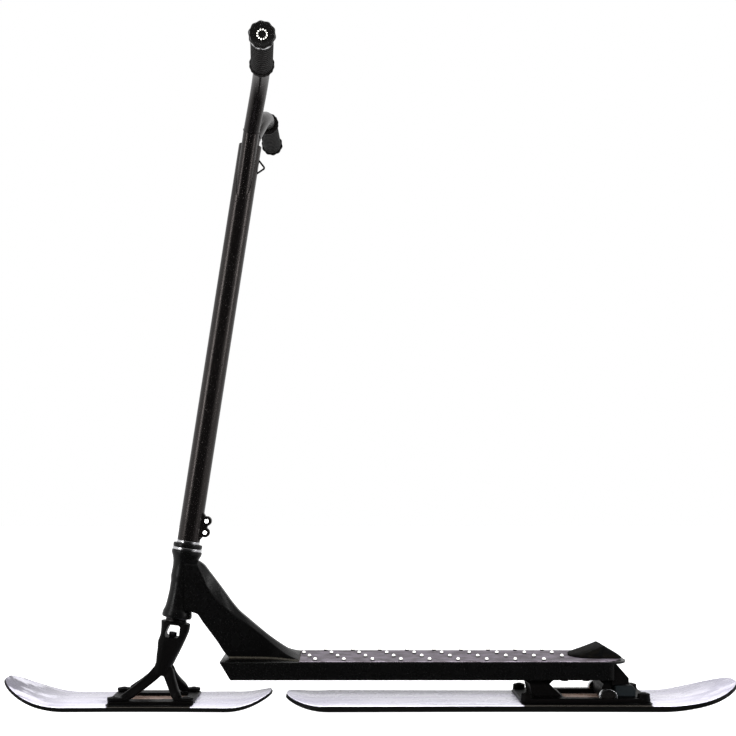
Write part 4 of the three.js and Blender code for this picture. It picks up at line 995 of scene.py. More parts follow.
def make_ski(prefix, ski, boss_xs, body, lacquer):
    """Base, sidewall and lacquered top are one form at three pairs of depths; four bolts go into them."""
    core = (CORE_BOTTOM - GAP, ski["core_top"] + GAP)
    for name, depths, finish, slot, node in (
        ("running_base", (0, SKI_BASE_TOP), BASE, "ski_base_plastic", "ski_base"),
        ("sidewall", core, EDGE, "ski_wood", "ski_core"),
        ("lacquered_top", ski["sheet"], lacquer, "ski_lacquer", "ski_topsheet"),
    ):
        piece(f"{prefix}_{name}", ski_layer(ski, *depths), finish, body, [f"{prefix}_{node}"])
    bolt = frame_bolt(ski)
    for name, (x, y) in zip(CORNER_NAMES, corners_of(boss_xs)):
        piece(f"{prefix}_button_bolt_{name}", moved(bolt, x, y), OXIDE, body,
              [f"{prefix}_bolt_{name}"])


# Frames on the skis

FRAME_CELL = 0.85
FLANGE_BEVEL = 0.5
SEAT_INNER = 35.0
SEAT_OUTER = 50.0
FOOT_SINK = 1.0


def ring_plate(span, window, half, low, high):
    """A flat ring: a rounded outline less a rounded window."""
    x0, x1, inner = window
    ring = prism(rectangle(*span, -half, half, FRAME_CORNER), low, high, "z")
    hole = prism(rectangle(x0, x1, -inner, inner, FRAME_CORNER / 2), 0, high + OVERRUN, "z")
    return carved(ring, hole)


def bosses(xs, ski, low=None):
    """Upright round feet under the four bolts."""
    bottom, top = ski["boss"]
    return [prism(circle(x, y, ski["boss_radius"]), low or bottom, top, "z") for x, y in corners_of(xs)]


def head_recesses(xs, ski):
    """Round cutters that let the four bolt heads into the tops of the feet."""
    top = ski["boss"][1]
    radius = BOLT_HEAD / 2 + GAP
    return [prism(circle(x, y, radius), top - HEAD_RECESS, top + OVERRUN, "z") for x, y in corners_of(xs)]


def make_frame(prefix, span, window, ski, body, feet=(), cutters=()):
    """Rails in one casting with any feet, on a thin flange that reaches nearly to the ski's edges."""
    low, high = ski["frame"]
    rails = ring_plate(span, window, FRAME_HALF, low, high)
    form = cast([rails, *feet], FRAME_CELL, 5, cutters)
    piece(f"{prefix}_rail_frame", form, CAST, body, [f"{prefix}_base_frame"])
    flange = ring_plate(span, window, FLANGE_HALF, low, low + FLANGE_THICKNESS)
    piece(f"{prefix}_frame_flange", flange, CAST, body, bevel=FLANGE_BEVEL)


def make_rear_frame():
    """The rear frame has its feet cast on, and two round seats for the bushes cut across its rails."""
    seats = [
        prism(circle(PIVOT_X, PIVOT_Z, BUSH_LOWER + GAP), *faces, "y")
        for faces in ((-SEAT_OUTER, -SEAT_INNER), (SEAT_INNER, SEAT_OUTER))
    ]
    feet = bosses(REAR_BOSS_X, REAR_SKI, REAR_SKI["frame"][0] + FOOT_SINK)
    make_frame("rear", REAR_FRAME, REAR_WINDOW, REAR_SKI, "rear_ski", feet,
               [*head_recesses(REAR_BOSS_X, REAR_SKI), *seats])


# Fork, on the leaned axis

# Share of the height from waist to crown, then shares of the crown radius: offset along X and half-sizes
# along X and Y; last, how square the section is
FORK_SHARES = np.array([
    [0.0, -0.38, 0.561, 0.86, 3.0],
    [0.05, -0.317, 0.585, 0.86, 3.0],
    [0.195, -0.263, 0.673, 0.88, 3.0],
    [0.37, -0.18, 0.77, 0.9, 3.0],
    [0.532, -0.127, 0.864, 0.92, 2.8],
    [0.686, -0.015, 0.89, 0.95, 2.6],
    [0.84, 0.03, 0.96, 0.98, 2.2],
    [1.0, 0.0, 1.0, 1.0, 2.0],
])
# Window through the crown: shares of the crown radius along X and of the crown's height above the seam
WINDOW_SHARES = np.array([
    [-0.47, 0.3], [0.28, 0.3], [0.43, 0.42], [0.41, 0.86], [0.3, 0.91],
    [-0.33, 0.9], [-0.46, 0.68], [-0.56, 0.43], [-0.52, 0.33],
])
# Along the reach, out towards the foot's side, up towards the waist, and of the leg's radius
LEG_SHARES = np.array([
    [0.0, 0.16, 1.0, 1.25],
    [0.22, 0.3, 0.72, 1.1],
    [0.55, 0.62, 0.38, 1.0],
    [0.86, 0.94, 0.1, 0.95],
    [1.0, 1.0, 0.0, 0.8],
])
# Foot of the waist under the arch: offset and half-sizes as shares of the crown radius, and squareness
SADDLE = np.array([-0.38, 0.6, 0.9, 3.0])
# Ground under the fork's feet that is cut away: both X and both Y
FEET_GROUND = (-90.0, 70.0, -70.0, 70.0)
CROWN_CELL = 0.5
LEGS_CELL = 0.7
SEAM_LAP = 0.9
WAIST_LAP = 1.0
BODY_STEPS = 24
WINDOW_ROUND = 1.2
LEG_STEPS = 40
LEG_SIDES = 28
LEG_SQUARENESS = 0.6
NUT_FLOOR = FORK_SEAM + 0.3 * (CROWN_TOP - FORK_SEAM)
NUT_HEIGHT = 6.6
NUT_CORNER = 5.5
NUT_FACE = 5.0
NUT_CHAMFER = 0.7
NUT_BORE = 3.2
NUT_BEVEL = 0.25


def fork_body(low, high):
    """Super-ellipse sections stacked from one height to another, each as long, as wide and as square as
    the eased table of shares says at its share of the height."""
    height = np.linspace(low, high, BODY_STEPS)
    share = (height - WAIST_HEIGHT) / (CROWN_TOP - WAIST_HEIGHT)
    offset, half_x, half_y, power = eased(FORK_SHARES[:, 0], FORK_SHARES[:, 1:], share).T
    return skin(ovals(CROWN_RADIUS * offset, height, CROWN_RADIUS * half_x, CROWN_RADIUS * half_y, power))


def make_fork_crown():
    """The upper casting: the body above the seam, with a rounded window cut through from side to side."""
    body = fork_body(FORK_SEAM - SEAM_LAP, CROWN_TOP)
    outline = WINDOW_SHARES * (CROWN_RADIUS, CROWN_TOP - FORK_SEAM) + (0, FORK_SEAM)
    reach = CROWN_RADIUS + OVERRUN
    window = prism(rounded(outline, WINDOW_ROUND), -reach, reach, "y")
    form = leaned(cast([body], CROWN_CELL, 6, [window]))
    piece("fork_crown_casting", form, CAST, "steering", ["fork_crown"])


def fork_leg(boss_x, side):
    """A bar from under the waist to a foot, along the eased table of shares; its section is the
    super-ellipse (r cos^p t, r sin^p t), whose low power p makes its shoulders square."""
    ahead = math.copysign(1, boss_x)
    middle = WAIST_HEIGHT * math.sin(LEAN) + SADDLE[0] * CROWN_RADIUS
    waist_x = middle + ahead * LEG_RADIUS
    foot_x = boss_x - ahead * LEG_FOOT_INSET
    foot_z = sum(FRONT_SKI["boss"]) / 2 + GAP
    top_z = WAIST_HEIGHT - LEG_RADIUS
    last = len(LEG_SHARES) - 1
    along, out, up, size = eased(np.arange(last + 1), LEG_SHARES, np.linspace(0, last, LEG_STEPS)).T
    path = np.stack([
        waist_x + (foot_x - waist_x) * along, side * BOSS_Y * out, foot_z + (top_z - foot_z) * up,
    ], -1)
    section = signed_power(circle(0, 0, 1, LEG_SIDES), LEG_SQUARENESS)
    return swept(path, (LEG_RADIUS * size)[:, None, None] * section, (0, 1, 0))


def make_fork_legs():
    """The lower casting: the body's waist, a saddle straight down from it, four legs and four feet, fused
    and then cut flat at the feet's undersides."""
    upper = leaned(fork_body(WAIST_HEIGHT - WAIST_LAP, FORK_SEAM + SEAM_LAP))
    offset, half_x, half_y, power = np.array([SADDLE, FORK_SHARES[0, 1:]]).T
    saddle = leaned(skin(ovals(
        CROWN_RADIUS * offset, [ARCH_TOP, WAIST_HEIGHT], CROWN_RADIUS * half_x, CROWN_RADIUS * half_y, power,
    )))
    legs = [fork_leg(x, side) for x in FRONT_BOSS_X for _, side in SIDES]
    bottom, top = FRONT_SKI["boss"]
    shoes = []
    for x, y in corners_of(FRONT_BOSS_X):
        inner = x - math.copysign(LEG_FOOT_INSET + LEG_RADIUS, x)
        outline = rectangle(*sorted((x, inner)), y - LEG_RADIUS, y + LEG_RADIUS, LEG_RADIUS / 2)
        shoes.append(prism(outline, bottom, top - GAP, "z"))
    ground = prism(rectangle(*FEET_GROUND), 0, bottom, "z")
    form = cast([upper, saddle, *legs, *shoes, *bosses(FRONT_BOSS_X, FRONT_SKI)], LEGS_CELL, 6,
                [ground, *head_recesses(FRONT_BOSS_X, FRONT_SKI)])
    piece("fork_leg_casting", form, CAST, "steering", ["fork_legs"])


def make_fork_nut():
    """Six-sided nut with its corners turned down by a cone at both faces."""
    low = NUT_FLOOR + GAP
    high = low + NUT_HEIGHT
    levels = (low, low + NUT_CHAMFER, high - NUT_CHAMFER, high)
    sizes = (NUT_FACE, NUT_CORNER, NUT_CORNER, NUT_FACE)
    rings = [
        np.column_stack([circle(0, 0, size, 6), np.full(6, level)]) for level, size in zip(levels, sizes)
    ]
    bore = prism(circle(0, 0, NUT_BORE), low - OVERRUN, high + OVERRUN, "z")
    form = leaned(moved(carved(skin(rings), bore), FORK_BOLT_X))
    piece("fork_hex_nut", form, ZINC, "steering", ["fork_nut"], bevel=NUT_BEVEL)


# Head tube and the rings on it

# Share of the head tube's length, then how much of bell, waist or collar shows
HEAD_TUBE_SHARES = [
    (0.0, BELL, 0.985), (0.035, BELL, 1.0), (0.085, BELL, 0.965), (0.14, BELL, 0.88), (0.2, BELL, 0.835),
    (0.29, WAIST, 1.04), (0.4, WAIST, 1.0), (0.53, WAIST, 1.0), (0.57, WAIST, 1.035),
    (0.61, WAIST, 1.06), (0.67, WAIST, 1.045), (0.75, WAIST, 1.03), (0.82, WAIST, 1.06),
    (0.88, COLLAR, 0.86), (0.93, COLLAR, 0.945), (0.965, COLLAR, 1.0), (1.0, COLLAR, 1.0),
]
HEAD_TUBE_BORE = 13.5
HEAD_TUBE_RIM = 0.6
RING_SIDES = 96
RACE = (CROWN_TOP + GAP, HEAD_TUBE_BOTTOM + 0.5)


def head_tube_outside(steps):
    """Radius and height of the outside: the radius is eased through bell, waist and collar, each times
    its share."""
    share = np.linspace(0, 1, steps)
    table = np.array([[at, radius * size] for at, radius, size in HEAD_TUBE_SHARES])
    radius = eased(table[:, 0], table[:, 1], share)[:, 0]
    return np.stack([radius, HEAD_TUBE_BOTTOM + share * HEAD_TUBE_LENGTH], -1)


def make_head_tube():
    """The outside and a straight bore, turned; both outer rims are broken."""
    outside = head_tube_outside(80)
    top = HEAD_TUBE_BOTTOM + HEAD_TUBE_LENGTH
    foot_radius, top_radius = outside[[0, -1], 0]
    profile = np.concatenate([
        [[HEAD_TUBE_BORE, HEAD_TUBE_BOTTOM], [foot_radius - HEAD_TUBE_RIM, HEAD_TUBE_BOTTOM]],
        outside[1:-1],
        [[top_radius, top - HEAD_TUBE_RIM], [top_radius - HEAD_TUBE_RIM, top], [HEAD_TUBE_BORE, top]],
    ])
    form = leaned(turned(profile, RING_SIDES))
    piece("head_tube_turned", form, PAINT, "deck", ["head_tube"])


def ring_form(inner, outer, low, high, edge, groove):
    """A turned ring with rounded rims and, unless its depth is 0, a groove round its middle."""
    middle = (low + high) / 2
    profile = [[inner, low], [outer, low]]
    if groove:
        profile += [[outer, middle - groove], [outer - groove, middle], [outer, middle + groove]]
    profile += [[outer, high], [inner, high]]
    return leaned(turned(rounded(profile, edge, 3), RING_SIDES))


def make_rings():
    """Four rings round the steerer: node, outer radius, heights, rounded edge, groove, then what they are
    made of, their body and their slot."""
    fit = STEERER_RADIUS + GAP
    for node, outer, heights, edge, groove, finish, body, slot in (
        ("headset_cup", 20.5, CUP, 0.7, 0.0, ALLOY, "deck", "polished_alloy"),
        ("headset_cover", 20.35, COVER, 1.4, 0.0, PAINT, "steering", "plug_plastic"),
        ("headset_spacer", 16.0, SPACER, 0.5, 0.0, ALLOY, "steering", "polished_alloy"),
        ("crown_race", 14.8, RACE, 0.5, 0.7, OXIDE, "steering", "dark_steel"),
    ):
        form = ring_form(fit, outer, *heights, edge, groove)
        piece(f"{node}_ring", form, finish, body, [node])


# Handlebar

# Corners of one arm: along X, aside, and up from the top of the down tube
KINK = (0.0, 20.0, 16.0)
FOOT = (0.0, 5.0, -76.0)
BEND = (8.1, 105.0, 71.4)
END = (13.8, ARM_END_SPREAD, 70.0)
ARM_BEND_STEPS = 22
ARM_SIDES = 64
ARM_ROOM = 120.0
# Degrees round the arm's foot where its weld runs, the height it stops at, and the radii of both welds
SEAM_SPAN = (-62, 242)
SEAM_STEPS = 140
SEAM_TOP = BAR_TOP - 1.0
SEAM_BEAD = 0.9
ELBOW_BEAD = 0.8
BAR_EDGE = 0.5
BAR_SIDES = 96
SLIT_ROOT = 2.0
# Disc that closes the down tube: radius, height from the tube's top
TOP_DISC = np.array([
    [0.0, -3.0], [BAR_BORE - 0.1, -3.0], [BAR_BORE - 0.1, -0.6], [12.0, 0.0], [6.0, 0.3], [0.0, 0.4],
])
LOOP_BEND = 3.0
LOOP_STEP = 0.5
LOOP_SINK = 1.0


def arm_corner(corner, side=1):
    """A corner of an arm on one side, as a place."""
    return np.array([corner[0], side * corner[1], BAR_TOP + corner[2]])


def unit(vector):
    """The same direction, one long."""
    return vector / np.linalg.norm(vector)


def make_bar_tube():
    """A tube with eased rims, and a slit with a round end at its lower rear."""
    tube = turned(rounded([
        [BAR_BORE, BAR_BOTTOM], [BAR_RADIUS, BAR_BOTTOM], [BAR_RADIUS, BAR_TOP], [BAR_BORE, BAR_TOP],
    ], BAR_EDGE, 3), BAR_SIDES)
    half = SLIT_WIDTH / 2
    outline = np.concatenate([
        [[-half, BAR_BOTTOM - OVERRUN], [half, BAR_BOTTOM - OVERRUN]],
        arc(0, BAR_BOTTOM + SLIT_LENGTH - half, half, 0, math.pi, 10),
    ])
    slit = prism(outline, SLIT_ROOT, BAR_RADIUS + OVERRUN, "x")
    piece("bar_down_tube", clamped(carved(tube, slit)), BAR, "steering", ["bar_tube"])
    disc = turned(TOP_DISC + (0, BAR_TOP), 64)
    piece("bar_top_disc", clamped(disc), BAR, "steering")


def mitred_arm():
    """Two straight tubes that meet in the plane halfway between them, then a bend to the grip: the
    quadratic curve (1-s)^2 entry + 2s(1-s) corner + s^2 exit. At the mitre the ring is stretched by
    1 / cos of half the kink. Whatever is inside the down tube or past its middle is cut away."""
    foot, kink, bend, end = [arm_corner(corner) for corner in (FOOT, KINK, BEND, END)]
    first = unit(kink - foot)
    second = unit(bend - kink)
    third = unit(end - bend)
    share = np.linspace(0, 1, ARM_BEND_STEPS)[:, None]
    entry = bend - second * ARM_BEND_ROUND
    leave = bend + third * ARM_BEND_ROUND
    curve = (1 - share) ** 2 * entry + 2 * share * (1 - share) * bend + share ** 2 * leave
    path = np.concatenate([[foot], [kink], curve, [end]])
    tangent = np.concatenate([[first], [unit(first + second)], np.gradient(curve, axis=0), [third]])
    tangent /= np.linalg.norm(tangent, axis=1, keepdims=True)
    side = (1, 0, 0) - tangent[:, :1] * tangent
    side /= np.linalg.norm(side, axis=1, keepdims=True)
    other = np.cross(tangent, side)
    stretch = np.ones((len(path), 1, 1))
    stretch[1] = 1 / (first @ unit(first + second))
    section = circle(0, 0, ARM_RADIUS, ARM_SIDES)
    rings = (
        path[:, None] + section[None, :, :1] * side[:, None]
        + stretch * section[None, :, 1:] * other[:, None]
    )
    room = rod(BAR_RADIUS, BAR_TOP - ARM_ROOM, BAR_TOP)
    beyond = rectangle(-ARM_ROOM, ARM_ROOM, BAR_TOP - ARM_ROOM, BAR_TOP + ARM_ROOM)
    kink_ring = rings[1]
    return carved(skin(rings), room, prism(beyond, -ARM_ROOM, 0, "y")), kink_ring


def arm_seam():
    """Where the arm's foot meets the down tube: y = root(R^2 - x^2) on the tube, with x = r cos t, and z
    where the arm's line through (r cos t, r sin t) of its section reaches that y."""
    foot, kink = arm_corner(FOOT), arm_corner(KINK)
    run = unit(kink - foot)
    up = np.array([0, run[2], -run[1]])
    angle = np.radians(np.linspace(*SEAM_SPAN, SEAM_STEPS))
    x = ARM_RADIUS * np.cos(angle)
    out = ARM_RADIUS * np.sin(angle)
    y = np.sqrt(BAR_RADIUS ** 2 - x ** 2)
    t = (y - foot[1] - out * up[1]) / run[1]
    z = foot[2] + t * run[2] + out * up[2]
    keep = z < SEAM_TOP
    return np.stack([x, y, z], -1)[keep]


def make_arms():
    """Both arms with their welds; the left one is the right one mirrored."""
    arm, kink_ring = mitred_arm()
    seam = bead(arm_seam(), SEAM_BEAD, (0, 1, 0))
    elbow = bead(kink_ring, ELBOW_BEAD, (0, 1, 0.6), loop=True)
    welds = joined(seam, elbow)
    for name, side in SIDES:
        tube = clamped(on_side(arm, side))
        piece(f"bar_bent_arm_{name}", tube, BAR, "steering", [f"bar_arm_{name}"])
        piece(f"bar_arm_weld_{name}", clamped(on_side(welds, side)), BAR, "steering")


def make_loop():
    """A round wire swept along three corners with a wide bend, its feet sunk into the rear of the bars."""
    seat = BAR_RADIUS - LOOP_SINK
    out = BAR_RADIUS + LOOP_REACH - LOOP_WIRE / 2
    corners = [[seat, 0, LOOP_LOW], [out, 0, (LOOP_LOW + LOOP_HIGH) / 2], [seat, 0, LOOP_HIGH]]
    path = resampled(rounded(corners, LOOP_BEND, 10, loop=False), LOOP_STEP)
    wire = swept(path, circle(0, 0, LOOP_WIRE / 2, 16), (0, 1, 0))
    piece("leash_wire_loop", clamped(wire), OXIDE, "steering", ["leash_loop"])


# Clamp lugs, and the screws across them

LUG_CELL = 0.32
LUG_ROOT = 10.0
LUG_SINK = 0.4
LUG_ROUND = 1.5
SCREW_HEIGHT = 5.5
SCREW_CHAMFER = (0.8, 0.9)
SCREW_KNURLS = 16
KNURL_DEPTH = 0.25
SCREW_SOCKET = 2.2
SCREW_SOCKET_FLOOR = 2.6
SCREW_SHANK = 2.8
SCREW_LENGTH = 15.6
SCREW_LAP = 0.2


def make_lugs():
    """A web with two round lobes, cast in one and cut to the round of the tube."""
    low, high = LUG_HEIGHTS
    foot, head = LUG_WEB
    web = [
        [LUG_ROOT, foot], [LUG_OFFSET - LUG_RADIUS, foot], [LUG_OFFSET, low - LUG_RADIUS / 2],
        [LUG_OFFSET + LUG_RADIUS / 3, (low + high) / 2],
        [LUG_OFFSET, high + LUG_RADIUS / 2], [LUG_OFFSET - LUG_RADIUS, head], [LUG_ROOT, head],
    ]
    lobes = [prism(circle(LUG_OFFSET, height, LUG_RADIUS, 48), *LUG_FACES, "y") for height in LUG_HEIGHTS]
    room = rod(BAR_RADIUS - LUG_SINK, foot - LUG_ROOT, head + LUG_ROOT)
    lug = cast([prism(rounded(web, LUG_ROUND), *LUG_FACES, "y"), *lobes], LUG_CELL, 5, [room])
    for name, side in SIDES:
        form = clamped(on_side(lug, side))
        piece(f"clamp_lobed_lug_{name}", form, BAR, "steering", [f"clamp_lug_{name}"])


def make_clamp_bolts():
    """Cap screws across the lugs: a knurl-edged head with a six-sided socket, and a shank."""
    radius = CLAMP_HEAD / 2
    inset, drop = SCREW_CHAMFER
    profile = [
        [0, 0], [radius, 0], [radius, SCREW_HEIGHT - drop], [radius - inset, SCREW_HEIGHT], [0, SCREW_HEIGHT],
    ]
    head = turned(profile, 48, [0, KNURL_DEPTH, KNURL_DEPTH, 0, 0], SCREW_KNURLS)
    socket = prism(circle(0, 0, SCREW_SOCKET, 6), SCREW_SOCKET_FLOOR, SCREW_HEIGHT + OVERRUN, "z")
    shank = prism(circle(0, 0, SCREW_SHANK, 24), -SCREW_LENGTH, SCREW_LAP, "z")
    screw = joined(carved(head, socket), shank)
    for name, height in zip(("lower", "upper"), LUG_HEIGHTS):
        form = clamped(set_along(screw, (LUG_OFFSET, LUG_FACES[1] + GAP, height), (0, 1, 0)))
        piece(f"clamp_cap_screw_{name}", form, FLAKE, "steering", [f"clamp_bolt_{name}"])


# Grips and bar ends, which lie along Z with the end of the bar at 0

GRIP_BORE = ARM_RADIUS + 0.1
# One ring of the grip: share of the pitch, depth under the grip's radius
GRIP_RING = np.array([[0.06, 0.25], [0.12, 0.0], [0.5, 0.0], [0.58, 0.25], [0.64, 0.8], [0.98, 0.8]])
# Both ends of the grip: radius, then height from the bar's end or from the grip's inner end
GRIP_LEAD = np.array([[GRIP_BORE, -GAP], [GRIP_RADIUS - 0.6, -GAP], [GRIP_RADIUS, -1.0]])
GRIP_RIM = np.array([
    [GRIP_RADIUS, 5.5], [GRIP_FLANGE - 0.3, 4.6], [GRIP_FLANGE, 4.0], [GRIP_FLANGE, 0.8],
    [GRIP_FLANGE - 0.8, 0.0], [GRIP_BORE, 0.0],
])
RIM_SCALLOPS = (0.0, 0.4, 0.5, 0.5, 0.4, 0.0)
SCALLOP_COUNT = 16
# Bar-end plug: radius, height from the bar's end, depth of the facets
PLUG_PROFILE = np.array([
    [0.0, -20.0, 0.0], [9.0, -20.0, 0.0], [9.0, GAP, 0.0],
    [PLUG_RADIUS - 0.4, GAP, 1.0], [PLUG_RADIUS, GAP + 0.5, 1.0], [PLUG_RADIUS, 3.2, 1.0],
    [PLUG_RADIUS * 0.93, 4.7, 0.5], [PLUG_RADIUS * 0.86, 5.3, 0.0], [PLUG_RADIUS * 0.78, 5.0, 0.0],
    [PLUG_RADIUS * 0.68, 4.3, 0.0], [PLUG_RADIUS * 0.5, 4.1, 0.0], [0.0, 4.1, 0.0],
])
PLUG_FACETS = 10
PIP_COUNT = 12
PIP_RING = 5.8
PIP_RADIUS = 1.05
# One pip: share of its radius, height from the bar's end
PIP_DOME = np.array([[0.0, 3.9], [1.0, 3.9], [0.85, 4.35], [0.45, 4.6], [0.0, 4.68]])
# Bright band behind the near plug: inner and outer radius, inner and outer end
END_BAND = (14.4, 15.3, -7.6, -0.4)
BAND_EDGE = 0.4


def grip_form():
    """One ring's outline repeated at an even pitch between two rims, turned in one; the inner rim is
    scalloped."""
    pitch = (GRIP_LENGTH - 2 * GRIP_FLANGE_WIDTH) / GRIP_RIBS
    start = -GRIP_FLANGE_WIDTH - pitch * np.arange(GRIP_RIBS)[:, None]
    across, depth = GRIP_RING.T
    ribs = np.stack([GRIP_RADIUS - depth + 0 * start, start - pitch * across], -1).reshape(-1, 2)
    profile = np.concatenate([GRIP_LEAD, ribs, GRIP_RIM - (0, GRIP_LENGTH)])
    lobes = np.zeros(len(profile))
    lobes[-len(RIM_SCALLOPS):] = RIM_SCALLOPS
    return turned(profile, 128, lobes, SCALLOP_COUNT)


def plug_form():
    """A flange with a faceted rim round a shallow dish, turned in one with a spigot inside the bar."""
    return turned(PLUG_PROFILE[:, :2], 120, PLUG_PROFILE[:, 2], PLUG_FACETS)


def pip_forms():
    """Light domes on one circle in the dish, evenly spaced."""
    dome = turned(PIP_DOME * (PIP_RADIUS, 1), 14)
    return joined(*[moved(dome, x, y) for x, y in circle(0, 0, PIP_RING, PIP_COUNT)])


def at_bar_end(form, side):
    """The form on the end of an arm, its Z axis along the grip."""
    end = arm_corner(END, side)
    return clamped(set_along(form, end, unit(end - arm_corner(BEND, side))))


def make_bar_ends():
    """A grip, a plug and its pips on each side, and the bright band on the near side."""
    grip = grip_form()
    plug = plug_form()
    pips = pip_forms()
    for name, side in SIDES:
        for part, form, finish, slot, nodes in (
            ("ribbed_grip", grip, RUBBER, "grip_rubber", [f"grip_{name}"]),
            ("bar_end_cap", plug, PLASTIC, "plug_plastic", [f"bar_end_plug_{name}"]),
            ("bar_end_pips", pips, PIPS, "plug_plastic", []),
        ):
            piece(f"{part}_{name}", at_bar_end(form, side), finish, "steering", nodes)
    band = turned(rounded(rectangle(*END_BAND), BAND_EDGE, 2))
    piece("bar_end_collar_left", at_bar_end(band, -1), ALLOY, "steering")


# Deck

# Places of the two inner webs, half their thickness, and the slanted wall's thickness along X
CELL_WEB = 22.0
CELL_WEB_HALF = 1.3
NOSE_WALL = 2.9
DECK_BEVEL = 0.4
SHEET_BEVEL = 0.25
# Studs: a grid of slanting rows, its first X, and how far its outer rows are in from the deck's edges
STUD_ROWS = 4
STUD_COLUMNS = 10
STUD_PITCH = 38.9
STUD_STAGGER = 8.7
STUD_FIRST = 187.9
STUD_INSET = 10.0
# A stud's foot: radius past the stud's own, height from the top of the sheet
STUD_FOOT = np.array([[0.5, -0.4], [0.4, 0.35], [0.0, 0.6]])
STUD_SHOULDER = 1.2
# Heights over the sheet between which a stud goes from painted shade at its foot to a painted highlight on
# top
STUD_SHADE = (1.4, 2.8)


def make_deck():
    """A box section from a slanted nose to a rounded lip, with three cells open at the rear."""
    slope = DECK_SLANT / (DECK_TOP - DECK_BOTTOM)
    rear = DECK_SIDE_END + DECK_LIP

    def slanted(outline, front, end):
        """The outline carried along X from a slanted front, x = front + slope (top - z), to a square end."""
        first = np.column_stack([front + (DECK_TOP - outline[:, 1]) * slope, outline])
        last = np.column_stack([np.full(len(outline), end), outline])
        return skin([first, last])

    section = rectangle(-DECK_HALF, DECK_HALF, DECK_BOTTOM, DECK_TOP, DECK_EDGE, 5)
    body = slanted(section, DECK_NOSE, rear)
    inside = DECK_HALF - DECK_WALL
    cells = [
        slanted(rectangle(y0, y1, DECK_BOTTOM + DECK_WALL, DECK_TOP - DECK_WALL, DECK_EDGE, 3),
                DECK_NOSE + NOSE_WALL, rear + OVERRUN)
        for y0, y1 in (
            (-inside, -CELL_WEB - CELL_WEB_HALF), (CELL_WEB_HALF - CELL_WEB, CELL_WEB - CELL_WEB_HALF),
            (CELL_WEB + CELL_WEB_HALF, inside),
        )
    ]
    lip = prism(rectangle(DECK_SIDE_END, rear + OVERRUN, DECK_BOTTOM - OVERRUN, DECK_TOP - DECK_WALL),
                -DECK_HALF - OVERRUN, DECK_HALF + OVERRUN, "y")
    front = DECK_NOSE - DECK_HALF
    keep = rectangle(front, rear, -DECK_HALF - GAP, DECK_HALF + GAP, LIP_ROUND, 20)
    kept = carved(carved(body, *cells, lip), prism(keep, DECK_BOTTOM - OVERRUN, DECK_TOP + OVERRUN, "z"),
                  operation="INTERSECT")
    piece("deck_box_section", kept, PAINT, "deck", ["deck_extrusion"], bevel=DECK_BEVEL)


def stud_places():
    """A grid of studs, x = first + column pitch + row stagger, kept where the sheet is bare between its
    front and the wedge."""
    last = STUD_ROWS - 1
    row, column = np.meshgrid(np.arange(STUD_ROWS), np.arange(STUD_COLUMNS), indexing="ij")
    x = STUD_FIRST + (last - row) * STUD_STAGGER + column * STUD_PITCH
    y = STUD_INSET - DECK_HALF + row * 2 * (DECK_HALF - STUD_INSET) / last
    bare = (x > SHEET_FRONT) & (x + STUD_RADIUS < WEDGE_FRONT)
    return np.stack([x[bare], y[bare]], -1)


def make_sheet():
    """A flat sheet with a square front and rounded rear corners."""
    outline = np.concatenate([
        [[SHEET_FRONT, -SHEET_HALF]],
        arc(SHEET_REAR - LIP_ROUND, -SHEET_HALF + LIP_ROUND, LIP_ROUND, -math.pi / 2, 0, 20),
        arc(SHEET_REAR - LIP_ROUND, SHEET_HALF - LIP_ROUND, LIP_ROUND, 0, math.pi / 2, 20),
        [[SHEET_FRONT, SHEET_HALF]],
    ])
    sheet = prism(outline, SHEET_LOW, SHEET_HIGH, "z")
    piece("deck_traction_sheet", sheet, GRIT, "deck", ["deck_grip_sheet"], bevel=SHEET_BEVEL)


def make_studs():
    """One stud is a foot, a short shank and an egg-shaped dome, (r cos t, shoulder + h sin t), turned."""
    rise = np.linspace(0, math.pi / 2, 7)
    tall = STUD_HEIGHT - STUD_SHOULDER
    dome = np.stack([STUD_RADIUS * np.cos(rise), STUD_SHOULDER + tall * np.sin(rise)], -1)
    dome[-1, 0] = 0
    foot = STUD_FOOT + (STUD_RADIUS, 0)
    profile = np.concatenate([[[0, foot[0, 1]]], foot, dome]) + (0, SHEET_HIGH)
    stud = turned(profile, 20)
    studs = joined(*[moved(stud, x, y) for x, y in stud_places()])
    dark, bright = STUD_SHADE
    # The studs' colour is painted light: painted shade at the foot, a painted highlight on top.
    finish = stud_painted_shading((SHEET_HIGH + dark) * MM, (SHEET_HIGH + bright) * MM)
    piece("deck_bullet_studs", studs, finish, "deck")


# Neck

# Along the length; ridge, shoulder and underside of the height; width from waist to tail
NECK_SHARES = np.array([
    [0.0, 1.0, 0.955, 0.48, 0.0],
    [0.11, 0.985, 0.945, 0.447, 0.0],
    [0.165, 0.945, 0.83, 0.36, 0.0],
    [0.215, 0.87, 0.7, 0.282, 0.0],
    [0.29, 0.755, 0.575, 0.163, 0.0],
    [0.365, 0.635, 0.505, 0.035, 0.0],
    [0.405, 0.57, 0.46, 0.0, 0.0],
    [0.475, 0.472, 0.4, 0.0, 0.01],
    [0.55, 0.395, 0.345, 0.0, 0.03],
    [0.64, 0.305, 0.265, 0.0, 0.07],
    [0.73, 0.218, 0.182, 0.0, 0.15],
    [0.82, 0.142, 0.105, 0.0, 0.33],
    [0.91, 0.075, 0.045, 0.0, 0.66],
    [1.0, 0.022, 0.012, 0.0, 1.0],
])
NECK_STEPS = 150
NECK_EDGE = 2.0
NECK_SINK = 0.2
NECK_ROOM_END = 9.0
NECK_WELD_START = 0.4
NECK_WELD_HEIGHT = 0.5
NECK_WELD_RADIUS = 1.9


